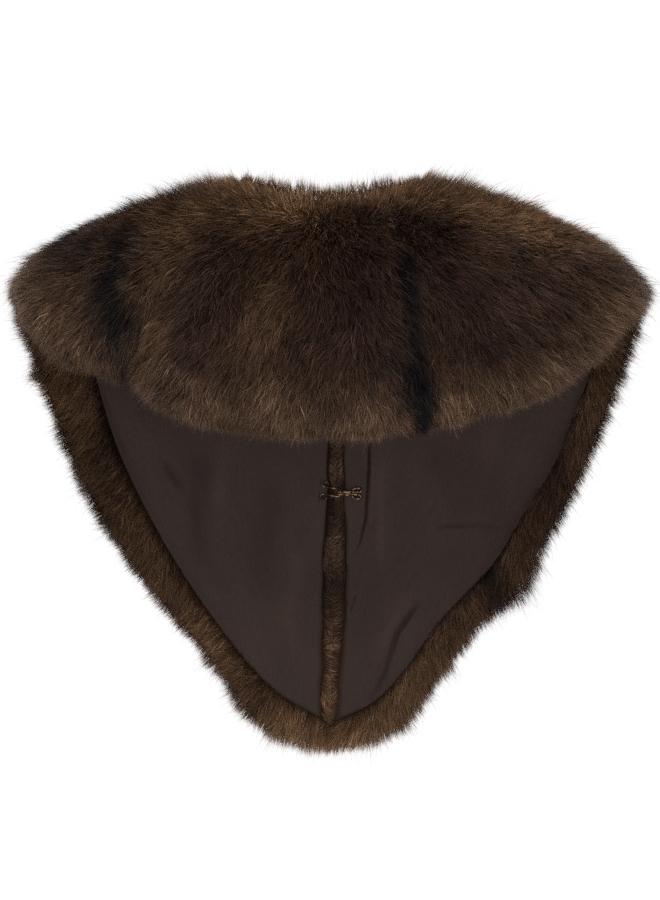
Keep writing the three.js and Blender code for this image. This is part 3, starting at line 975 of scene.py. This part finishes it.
def smooth_path(points, steps):
    """Even steps along a smooth line through points, with softer bends where the points lie close."""
    points = np.asarray(points, float)
    ends = np.vstack((2 * points[0] - points[1], points, 2 * points[-1] - points[-2]))
    knots = added_up(steps_of(ends) ** 0.5)
    line = []
    for k in range(1, len(ends) - 2):
        t = np.linspace(knots[k], knots[k + 1], 24, endpoint=k == len(ends) - 3)[:, None]
        t0, t1, t2, t3 = knots[k - 1:k + 3]
        p0, p1, p2, p3 = ends[k - 1:k + 3]
        a1 = blend(p0, p1, (t - t0) / (t1 - t0))
        a2 = blend(p1, p2, (t - t1) / (t2 - t1))
        a3 = blend(p2, p3, (t - t2) / (t3 - t2))
        b1 = blend(a1, a2, (t - t0) / (t2 - t0))
        b2 = blend(a2, a3, (t - t1) / (t3 - t1))
        line.append(blend(b1, b2, (t - t1) / (t2 - t1)))
    line = np.concatenate(line)
    far = added_up(steps_of(line))
    even = np.linspace(0, far[-1], steps + 1)
    return np.stack([np.interp(even, far, line[:, axis]) for axis in range(3)], 1)


def tubes(name, paths, matrix, diameter, smoothness=5):
    """Round wires or threads along paths of a plane, as one mesh."""
    curve = bpy.data.curves.new(name, "CURVE")
    curve.dimensions = "3D"
    curve.bevel_depth = diameter / 2 * MM
    curve.bevel_resolution = smoothness
    curve.use_fill_caps = True
    for path in paths:
        line = curve.splines.new("POLY")
        line.points.add(len(path) - 1)
        for point, place in zip(line.points, path):
            point.co = (*(matrix @ Vector(place)), 1)
    shape = placed(name, curve)
    bpy.context.view_layer.update()
    mesh = bpy.data.meshes.new_from_object(shape.evaluated_get(bpy.context.evaluated_depsgraph_get()))
    bpy.data.objects.remove(shape)
    bpy.data.curves.remove(curve)
    mesh.name = name
    mesh.shade_smooth()
    return placed(name, mesh)


def with_mirror(half):
    """A path and its mirror image below, as one path."""
    return [*half, *[(a, -b, c) for a, b, c in reversed(half)]]


def hook_path():
    """Two sewing loops, a doubled shank, and the doubled bill that folds back over the eye's bar."""
    top = SEAT + 2 * LAYER
    b = SHANK_HALF_GAP
    return with_mirror([
        (12.9, 2.6, SEAT),
        (14.4, 3.5, SEAT),
        (16.6, 4.1, SEAT),
        (LOOP_END - 0.8, 3.6, SEAT),
        (LOOP_END, 2.5, SEAT),
        (LOOP_END - 0.9, 1.4, SEAT),
        (16.4, b + 0.1, SEAT),
        (13, b, SEAT),
        (BAR_ACROSS + 1.5, b, SEAT),
        (BAR_ACROSS, b, SEAT),
        (BAR_ACROSS - LAYER * 0.78, b, SEAT + LAYER * 0.38),
        (BAR_ACROSS - LAYER, b, SEAT + LAYER),
        (BAR_ACROSS - LAYER * 0.78, b, top - LAYER * 0.38),
        (BAR_ACROSS, b, top),
        (BAR_ACROSS + 2.5, b, top),
        (BILL_END - 0.9, b, top),
        (BILL_END - 0.1, b * 0.62, top),
    ])


# A sewing loop: the place of its middle, its half length and its half width.
Loop = namedtuple("Loop", "across up long wide")
EYE_LOOP = Loop(-7.8, 4.6, 2.5, 1.8)
HOOK_LOOPS = [Loop(16.6, side * 2.5, 2.6, 1.5) for side in (-1, 1)]
EYE_LOOPS = [EYE_LOOP._replace(up=side * EYE_LOOP.up) for side in (-1, 1)]


def eye_loop(degrees):
    angle = radians(degrees)
    return EYE_LOOP.across + EYE_LOOP.long * cos(angle), EYE_LOOP.up + EYE_LOOP.wide * sin(angle), SEAT


def eye_path():
    """Two sewing loops, and a bow whose bar the hook holds."""
    return with_mirror([
        *[eye_loop(degrees) for degrees in (0, 45, 90, 135, 180, 225, 265)],
        (-4.6, EYE_LOOP.up - EYE_LOOP.wide, SEAT + 0.2),
        (-1.6, 2.9, SEAT + LAYER * 0.7),
        (BAR_ACROSS - 2.2, 2.9, SEAT + LAYER),
        (BAR_ACROSS - 0.7, 2.5, SEAT + LAYER),
        (BAR_ACROSS, 1.2, SEAT + LAYER),
    ])


def stitch(across, up, way, reach, foot=-0.6):
    """A thread that comes out of the cloth, crosses over the wire and goes back in, at an angle in degrees."""
    step = np.array((cos(radians(way)), sin(radians(way)))) * reach
    arch = []
    for t in np.linspace(-1, 1, 9):
        height = foot + (SEAT + WIRE_DIAMETER / 2 + STITCH_LIFT - foot) * (1 - t * t) ** 0.6
        arch.append((across + step[0] * t, up + step[1] * t, height))
    return arch


def loop_stitches(loops, rng, each, reach):
    """The whip stitches round sewing loops, a few of them loose."""
    lines = []
    for across, up, long, wide in loops:
        for k in range(each):
            angle = 2 * np.pi * (k + rng.uniform(-0.25, 0.25)) / each
            place = (across + long * np.cos(angle), up + wide * np.sin(angle))
            way = np.degrees(np.arctan2(np.sin(angle) / wide, np.cos(angle) / long)) + rng.uniform(-14, 14)
            lines.append(stitch(*place, way, reach * rng.uniform(0.85, 1.2)))
    return lines


def thread_tail(across, up, way, length, bend):
    """A cut end of thread that lies on the cloth."""
    line = []
    for t in np.linspace(0, 1, 10):
        angle = radians(way + bend * t)
        height = STITCH_LIFT + 0.5 * sin(np.pi * t)
        line.append((across + length * t * cos(angle), up + length * t * sin(angle), height))
    return line


# The materials

# The places of a mix node's two colours among its sockets.
MIX_COLOURS = (6, 7)


class Nodes:
    """A node tree with short ways to add nodes and link them."""

    def __init__(self, tree):
        self.tree = tree

    def add(self, kind, sockets=None, **settings):
        """A new node with these settings, and with values or links for its sockets."""
        node = self.tree.nodes.new(kind)
        for key, value in settings.items():
            setattr(node, key, value)
        return self.fill(node, sockets or {})

    def fill(self, node, sockets):
        for key, value in sockets.items():
            self.feed(node.inputs[key], value)
        return node

    def feed(self, socket, value):
        if isinstance(value, bpy.types.NodeSocket):
            self.tree.links.new(value, socket)
        else:
            socket.default_value = value

    def attribute(self, name):
        return self.add("ShaderNodeAttribute", attribute_name=name).outputs["Fac"]

    def place(self, output="Object"):
        return self.add("ShaderNodeTexCoord").outputs[output]

    def maths(self, operation, *values, clamp=False):
        sockets = dict(enumerate(values))
        return self.add("ShaderNodeMath", sockets, operation=operation, use_clamp=clamp).outputs[0]

    def product(self, first, *others):
        for value in others:
            first = self.maths("MULTIPLY", first, value)
        return first

    def ranged(self, value, low, high, to_low=0.0, to_high=1.0, smooth=False):
        sockets = {"Value": value, "From Min": low, "From Max": high, "To Min": to_low, "To Max": to_high}
        way = "SMOOTHSTEP" if smooth else "LINEAR"
        return self.add("ShaderNodeMapRange", sockets, interpolation_type=way).outputs["Result"]

    def mixed(self, share, first, second, mode="MIX"):
        node = self.add("ShaderNodeMix", {"Factor": share}, data_type="RGBA", blend_type=mode)
        for key, value in zip(MIX_COLOURS, (first, second)):
            self.feed(node.inputs[key], (*value, 1) if isinstance(value, tuple) else value)
        return node.outputs[2]

    def combined(self, values):
        """One colour from its three channels."""
        return self.add("ShaderNodeCombineColor", dict(enumerate(values))).outputs[0]

    def noise(self, vector, scale, detail=2.0, roughness=0.5):
        sockets = {"Vector": vector, "Scale": scale, "Detail": detail, "Roughness": roughness}
        return self.add("ShaderNodeTexNoise", sockets).outputs["Fac"]

    def bump(self, height, strength, distance):
        sockets = {"Height": height, "Strength": strength, "Distance": distance}
        return self.add("ShaderNodeBump", sockets).outputs["Normal"]


def new_group(name, inputs, outputs):
    """A node group with its sockets, given as (name, kind) or (name, kind, default)."""
    group = bpy.data.node_groups.new(name, "ShaderNodeTree")
    for side, sockets in (("INPUT", inputs), ("OUTPUT", outputs)):
        for socket_name, kind, *default in sockets:
            socket = group.interface.new_socket(name=socket_name, in_out=side, socket_type=kind)
            if default:
                socket.default_value = default[0]
    nodes = Nodes(group)
    return nodes, nodes.add("NodeGroupInput").outputs, nodes.add("NodeGroupOutput").inputs, group


COLOUR, FLOAT = "NodeSocketColor", "NodeSocketFloat"

# The powers of a shade that make dark fur warmer, which paints the warm light scattered deep in the fur, and the slant
# of the weave's lines.
WARMING = (1.0, 1.08, 1.17)
TWILL_SLANT = 0.6


def fur_colour_group():
    """The fur's colour from its marks, its shade and the place along the hair."""
    colours = [(name, COLOUR) for name in ("Body", "Gold", "Red", "Hem", "Stripe")]
    numbers = [("Root depth", FLOAT, 0.5), ("Tip lightness", FLOAT, 1.2)]
    nodes, given, result, group = new_group("Fur colour", colours + numbers, [("Color", COLOUR)])
    gold = nodes.attribute("gold")
    along = nodes.attribute("along")
    colour = nodes.mixed(nodes.maths("MULTIPLY", gold, -1.0, clamp=True), given["Body"], given["Red"])
    colour = nodes.mixed(nodes.maths("MULTIPLY", gold, 1.0, clamp=True), colour, given["Gold"])
    hem = nodes.maths("MULTIPLY", nodes.attribute("hem"), nodes.ranged(along, 0.15, 0.9, 0.25, 1.0), clamp=True)
    colour = nodes.mixed(hem, colour, given["Hem"])
    # The stripe mask paints the coat's dark stripes and the painted shadow at the fur's foot in one dark colour.
    colour = nodes.mixed(nodes.attribute("stripe"), colour, given["Stripe"])
    # Darker towards the root: partly the hair's own dark root and partly painted shade deep in the pile.
    root = nodes.ranged(along, 0.0, 0.6, given["Root depth"], 1.0, smooth=True)
    tip = nodes.ranged(along, 0.6, 1.0, 1.0, given["Tip lightness"], smooth=True)
    shade = nodes.product(root, tip, nodes.attribute("shade"))
    warm = nodes.combined([nodes.maths("POWER", shade, power) for power in WARMING])
    nodes.feed(result["Color"], nodes.mixed(1.0, colour, warm, "MULTIPLY"))
    return group


def new_material(name, roughness, specular=0.5):
    material = bpy.data.materials.new(name)
    material.use_nodes = True
    nodes = Nodes(material.node_tree)
    shader = material.node_tree.nodes["Principled BSDF"]
    nodes.fill(shader, {"Roughness": roughness, "Specular IOR Level": specular})
    return material, nodes, shader


def fur_material(name, look, group, root_depth, tip_lightness, roughness, specular):
    material, nodes, shader = new_material(name, roughness, specular)
    colours = {key: (*getattr(look, key.lower()), 1) for key in ("Body", "Gold", "Red", "Hem", "Stripe")}
    along = {"Root depth": root_depth, "Tip lightness": tip_lightness}
    colour = nodes.add("ShaderNodeGroup", {**colours, **along}, node_tree=group)
    nodes.feed(shader.inputs["Base Color"], colour.outputs["Color"])
    return material, nodes, shader


def pelt_material(look, group):
    """The woolly underfur."""
    material, nodes, shader = fur_material("Underfur", look, group, 0.3, 1.0, 0.9, 0.05)
    nodes.feed(shader.inputs["Normal"], nodes.bump(nodes.noise(nodes.place(), 900.0, 3.0), 0.8, 0.002))
    return material


def satin_material(look):
    """Satin with a fine twill line, a soft sheen and slight wear, with painted shade in the troughs of its creases and
    painted light on their ridges.
    """
    material, nodes, shader = new_material("Satin", look.roughness, 0.12)
    cloth = nodes.place("UV")
    parts = nodes.add("ShaderNodeSeparateXYZ", {0: cloth}).outputs
    slant = nodes.maths("ADD", parts["X"], nodes.product(parts["Y"], TWILL_SLANT))
    twill = nodes.maths("SINE", nodes.product(slant, 2 * np.pi / look.twill))
    stretched = nodes.add("ShaderNodeMapping", {"Vector": cloth, "Scale": (1.0, 0.12, 1.0)})
    thread = nodes.noise(stretched.outputs["Vector"], 1600.0, 3.0, 0.6)
    wear = nodes.ranged(nodes.noise(cloth, 24.0, 3.0), 0.3, 0.7, 0.89, 1.11)
    fine = nodes.ranged(thread, 0.3, 0.7, 0.82, 1.18)
    lines = nodes.ranged(twill, -1.0, 1.0, 0.95, 1.05)
    # Painted shade in the creases' troughs and painted light on their ridges.
    painted_crease_shading = nodes.ranged(nodes.attribute("fold"), -2.4, 1.2, 0.5, 1.25)
    grey = nodes.combined([nodes.product(wear, fine, lines, painted_crease_shading)] * 3)
    height = nodes.maths("ADD", twill, nodes.product(thread, 2.0))
    nodes.fill(shader, {
        "Base Color": nodes.mixed(1.0, tuple(look.colour), grey, "MULTIPLY"),
        "Normal": nodes.bump(height, 0.25, 0.00006),
        "Sheen Weight": 0.04,
        "Sheen Roughness": 0.4,
    })
    return material


def wire_material(name, look, highlit):
    """Lacquered bronze wire, painted lighter in patches as painted highlights."""
    material, nodes, shader = new_material(name, look.wire_roughness)
    # Painted highlights: a noise mask lightens and smooths the wire in patches, more of them as highlit grows.
    highlight_share = nodes.noise(nodes.place(), 420.0, 3.0)
    highlight_share = nodes.ranged(highlight_share, 0.6 - 0.2 * highlit, 0.8 - 0.2 * highlit, smooth=True)
    nodes.fill(shader, {
        "Base Color": nodes.mixed(highlight_share, tuple(look.wire_dull), tuple(look.wire_highlight)),
        "Roughness": nodes.ranged(highlight_share, 0.0, 1.0, look.wire_roughness + 0.15, look.wire_roughness),
        "Metallic": 1.0,
    })
    return material


def thread_material(look):
    material, nodes, shader = new_material("Sewing thread", 0.7, 0.3)
    paler = tuple(2 * c for c in look.thread)
    nodes.feed(shader.inputs["Base Color"], nodes.mixed(nodes.noise(nodes.place(), 3000.0), tuple(look.thread), paler))
    return material


# What a user would change

class FurLook(PropertyGroup):
    length: FloatProperty(
        name="Hair Length", description="Full length of the hair on the body", default=18 * MM, unit="LENGTH")
    width: FloatProperty(
        name="Hair Width", description="Width of a fine hair at its widest", default=0.33 * MM, unit="LENGTH")
    guard_share: FloatProperty(
        name="Guard Hair", description="Share of the triangles in long guard hairs", default=0.36, subtype="FACTOR")
    tuft: FloatProperty(
        name="Tuft Size", description="Distance between locks of hair", default=3.5 * MM, unit="LENGTH")
    tuft_pull: FloatProperty(
        name="Tuft Pull", description="How far the tips of a lock draw together", default=0.48, subtype="FACTOR")
    flow: FloatProperty(
        name="Flow", description="Widest swing of the coat's slow swirls, in degrees", default=17)
    ruffle: FloatProperty(
        name="Ruffle", description="Widest swing of the coat's small ruffles, in degrees", default=12)
    back_triangles: IntProperty(
        name="Back Triangles", description="Triangles in each of the back's three hair pieces", default=181000)
    front_triangles: IntProperty(
        name="Front Triangles", description="Triangles in each front's hair", default=161000)
    body: FloatVectorProperty(
        name="Body", description="Colour of the coat", default=linear(0.232, 0.158, 0.112), subtype="COLOR")
    # The golden rims are partly painted light.
    gold: FloatVectorProperty(
        name="Gold", description="Colour of the golden rims", default=linear(0.43, 0.32, 0.22), subtype="COLOR")
    red: FloatVectorProperty(
        name="Red", description="Colour of the deeper patches", default=linear(0.18, 0.112, 0.084), subtype="COLOR")
    hem: FloatVectorProperty(
        name="Hem", description="Colour of the pale tips at the hem",
        default=linear(0.38, 0.29, 0.218), subtype="COLOR")
    # The stripes' dark colour also paints the shadow at the fur's foot.
    stripe: FloatVectorProperty(
        name="Stripe", description="Colour of the dark stripes", default=linear(0.065, 0.05, 0.05), subtype="COLOR")


class LiningLook(PropertyGroup):
    colour: FloatVectorProperty(
        name="Satin", description="Colour of the satin", default=linear(0.208, 0.156, 0.136), subtype="COLOR")
    roughness: FloatProperty(
        name="Roughness", description="How dull the satin is", default=0.55, subtype="FACTOR")
    twill: FloatProperty(
        name="Twill", description="Distance between the weave's slanted lines", default=0.9 * MM, unit="LENGTH")
    fullness: FloatProperty(
        name="Fullness", description="Ease of the cloth between its seams", default=1.0)
    crease_depth: FloatProperty(
        name="Creases", description="Depth of the creases", default=1.0)


class FastenerLook(PropertyGroup):
    # The highlit wire's colour is painted highlight.
    wire_highlight: FloatVectorProperty(
        name="Highlit Wire", description="Colour of the rubbed wire",
        default=linear(0.6, 0.48, 0.37), subtype="COLOR")
    wire_dull: FloatVectorProperty(
        name="Dull Wire", description="Colour of the lacquered wire",
        default=linear(0.24, 0.18, 0.14), subtype="COLOR")
    wire_roughness: FloatProperty(
        name="Roughness", description="How dull the rubbed wire is", default=0.4, subtype="FACTOR")
    thread: FloatVectorProperty(
        name="Thread", description="Colour of the sewing thread", default=linear(0.06, 0.05, 0.05), subtype="COLOR")


class StageLook(PropertyGroup):
    backdrop: FloatProperty(
        name="Backdrop", description="Brightness of the white surroundings", default=1.0)
    fill: FloatProperty(
        name="Fill", description="Strength of the light from all round", default=0.45)
    key: FloatProperty(
        name="Key Light", description="Power of the soft light over the camera", default=36, subtype="POWER")
    front: FloatProperty(
        name="Front Light", description="Power of the soft light beside the camera", default=23, subtype="POWER")
    rim: FloatProperty(
        name="Rim Lights", description="Power of each soft light behind a shoulder", default=30, subtype="POWER")
    floor: FloatVectorProperty(
        name="Floor", description="Colour of the floor", default=linear(0.93, 0.93, 0.93), subtype="COLOR")


class CollarLook(PropertyGroup):
    fur: PointerProperty(type=FurLook, name="Fur", description="Length, lay and colours of the fur")
    lining: PointerProperty(type=LiningLook, name="Lining", description="Colour and weave of the linings")
    fastener: PointerProperty(type=FastenerLook, name="Fastener", description="Finish of the hook and eye")
    stage: PointerProperty(type=StageLook, name="Stage", description="Floor and lights")


# The makers

def dressed(piece, material, slot, *replaced):
    """Gives a piece its material and its body, and hides what it stands for. Its slot is not used."""
    piece.data.materials.clear()
    piece.data.materials.append(material)
    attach(piece, "root")
    if replaced:
        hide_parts(*replaced)
    return piece


def fur_materials(look):
    """The hair's and the pelt's materials, made once."""
    if "Hair" not in bpy.data.materials:
        group = fur_colour_group()
        fur_material("Hair", look, group, 0.24, 1.1, 0.55, 0.15)
        pelt_material(look, group)
    return bpy.data.materials["Hair"], bpy.data.materials["Underfur"]


# The turns at which the back's hair is divided into three pieces.
BACK_THIRDS = {"left": (BACK.start, -36), "middle": (-36, 36), "right": (36, BACK.end)}


class COLLAR_OT_back_fur(Operator):
    """Makes the back's pelt and hair"""
    bl_idname = "collar.back_fur"
    bl_label = "Back Fur"

    def execute(self, context):
        look = context.scene.collar.fur
        hair, underfur = fur_materials(look)
        pelt = dressed(pelt_piece(BACK, 120), underfur, "fur", "fur_back")
        for seed, (name, (start, end)) in enumerate(BACK_THIRDS.items()):
            piece = hair_piece(f"hair_back_{name}", BACK, start, end, look.back_triangles, look, 100 + seed)
            dressed(piece, hair, "fur")
        return {"FINISHED"}


class COLLAR_OT_front_fur(Operator):
    """Makes the pelts and hair of the two fronts"""
    bl_idname = "collar.front_fur"
    bl_label = "Front Fur"

    def execute(self, context):
        look = context.scene.collar.fur
        hair, underfur = fur_materials(look)
        for seed, panel in enumerate(FRONTS):
            pelt = dressed(pelt_piece(panel, 80), underfur, "fur", f"fur_{panel.name}")
            piece = hair_piece(
                f"hair_{panel.name}", panel, panel.start, panel.end, look.front_triangles, look, 200 + seed)
            dressed(piece, hair, "fur")
        return {"FINISHED"}


class COLLAR_OT_linings(Operator):
    """Makes the satin linings of the back and the fronts"""
    bl_idname = "collar.linings"
    bl_label = "Linings"

    def execute(self, context):
        look = context.scene.collar.lining
        satin = satin_material(look)
        back = dressed(lining_piece(BACK, 96, 26, look), satin, "lining", "lining_back")
        for panel in FRONTS:
            piece = dressed(lining_piece(panel, 76, 96, look), satin, "lining", f"lining_{panel.name}")
        return {"FINISHED"}


class COLLAR_OT_fastener(Operator):
    """Makes the wire hook, its eye and the stitches that hold them"""
    bl_idname = "collar.fastener"
    bl_label = "Hook and Eye"

    def execute(self, context):
        look = context.scene.collar.fastener
        thread = thread_material(look)
        hook_plane, eye_plane = fastener_plane(HOOK_TILT), fastener_plane(EYE_TILT)
        hook = tubes("wire_hook", [smooth_path(hook_path(), 220)], hook_plane, WIRE_DIAMETER)
        # The hook gets more painted highlight than the eye.
        dressed(hook, wire_material("Hook wire", look, 1.2), "hook_metal", "hook")
        eye = tubes("wire_eye", [smooth_path(eye_path(), 180)], eye_plane, WIRE_DIAMETER)
        dressed(eye, wire_material("Eye wire", look, 0.75), "hook_metal", "eye")
        rng = np.random.default_rng(7)
        lines = loop_stitches(HOOK_LOOPS, rng, 7, 1.5)
        lines += [stitch(12.4, 0, 90, 2.3), stitch(11.6, 0, 86, 2.2), thread_tail(20.6, -3.2, -40, 5, 60)]
        dressed(tubes("hook_stitches", lines, hook_plane, 0.4, 2), thread, "lining")
        lines = loop_stitches(EYE_LOOPS, rng, 9, 1.8)
        lines += [thread_tail(-10.5, 6.5, 140, 4.5, -50), thread_tail(-9.5, -6.6, 215, 4, 45)]
        dressed(tubes("eye_stitches", lines, eye_plane, 0.45, 2), thread, "lining")
        return {"FINISHED"}


# The camera stands level behind the wrap. power names the look's value for a lamp.
CAMERA_PLACE = (0, -2.4, -0.14)
CAMERA_LENS = 135.3
FLOOR_HEIGHT = -1.35
FLOOR_RADIUS = 4.5
LAMPS_AIM = Vector((0, 0, -0.12))
Lamp = namedtuple("Lamp", "name place size power")
LAMPS = (
    Lamp("key_light", (-0.6, -2.1, 1.9), 2.0, "key"),
    Lamp("front_light", (0.4, -2.8, -0.2), 1.6, "front"),
    Lamp("rim_light_left", (-1.5, 1.1, 0.8), 1.4, "rim"),
    Lamp("rim_light_right", (1.5, 1.1, 0.8), 1.4, "rim"),
)


class COLLAR_OT_stage(Operator):
    """Makes the floor, the lights and the camera"""
    bl_idname = "collar.stage"
    bl_label = "Stage"

    def execute(self, context):
        scene = context.scene
        look = scene.collar.stage
        scene.view_settings.view_transform = "Standard"
        scene.cycles.use_denoising = False
        surroundings = bpy.data.worlds.new("Surroundings")
        surroundings.use_nodes = True
        nodes = Nodes(surroundings.node_tree)
        white = surroundings.node_tree.nodes["Background"]
        white.inputs["Color"].default_value = (1, 1, 1, 1)
        seen = nodes.add("ShaderNodeLightPath").outputs["Is Camera Ray"]
        nodes.feed(white.inputs["Strength"], nodes.ranged(seen, 0.0, 1.0, look.fill, look.backdrop))
        scene.world = surroundings
        self.floor(look)
        for lamp in LAMPS:
            self.light(lamp, getattr(look, lamp.power))
        self.camera(scene)
        return {"FINISHED"}

    def floor(self, look):
        bm = bmesh.new()
        bmesh.ops.create_circle(bm, cap_ends=True, segments=96, radius=FLOOR_RADIUS)
        bmesh.ops.translate(bm, verts=bm.verts, vec=(0, 0, FLOOR_HEIGHT))
        material, nodes, shader = new_material("Floor", 0.9, 0.2)
        tone = nodes.noise(nodes.place(), 3.0, 4.0)
        pale = tuple(look.floor)
        nodes.feed(shader.inputs["Base Color"], nodes.mixed(tone, tuple(0.97 * c for c in pale), pale))
        floor = finished("floor", bm)
        floor.data.materials.append(material)

    def light(self, lamp, power):
        data = bpy.data.lights.new(lamp.name, "AREA")
        data.size = lamp.size
        data.energy = power
        light = placed(lamp.name, data)
        light.location = lamp.place
        light.rotation_euler = (LAMPS_AIM - Vector(lamp.place)).to_track_quat("-Z", "Y").to_euler()

    def camera(self, scene):
        data = bpy.data.cameras.new("camera")
        data.sensor_width = 36
        data.lens = CAMERA_LENS
        camera = placed("camera", data)
        camera.location = CAMERA_PLACE
        camera.rotation_euler = (radians(90), 0, 0)
        scene.camera = camera


class COLLAR_PT_sidebar(Panel):
    """The collar's makers and looks"""
    bl_idname = "COLLAR_PT_sidebar"
    bl_label = "Fur Collar Wrap"
    bl_space_type = "VIEW_3D"
    bl_region_type = "UI"
    bl_category = "Collar"

    def draw(self, context):
        for maker in MAKERS:
            self.layout.operator(maker.bl_idname)
        collar = context.scene.collar
        for look in (collar.fur, collar.lining, collar.fastener, collar.stage):
            box = self.layout.box()
            for name in look.__annotations__:
                box.prop(look, name)


LOOKS = (FurLook, LiningLook, FastenerLook, StageLook, CollarLook)
MAKERS = (COLLAR_OT_back_fur, COLLAR_OT_front_fur, COLLAR_OT_linings, COLLAR_OT_fastener, COLLAR_OT_stage)
CLASSES = (*LOOKS, *MAKERS, COLLAR_PT_sidebar)


def register():
    for cls in CLASSES:
        bpy.utils.register_class(cls)
    bpy.types.Scene.collar = PointerProperty(type=CollarLook, name="Collar", description="Looks of the collar wrap")


def unregister():
    del bpy.types.Scene.collar
    for cls in reversed(CLASSES):
        bpy.utils.unregister_class(cls)


def main():
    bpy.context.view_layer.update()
    register()
    bpy.ops.collar.back_fur()
    bpy.ops.collar.front_fur()
    bpy.ops.collar.linings()
    bpy.ops.collar.fastener()
    bpy.ops.collar.stage()
    bpy.context.view_layer.update()


if __name__ == "__main__":
    main()
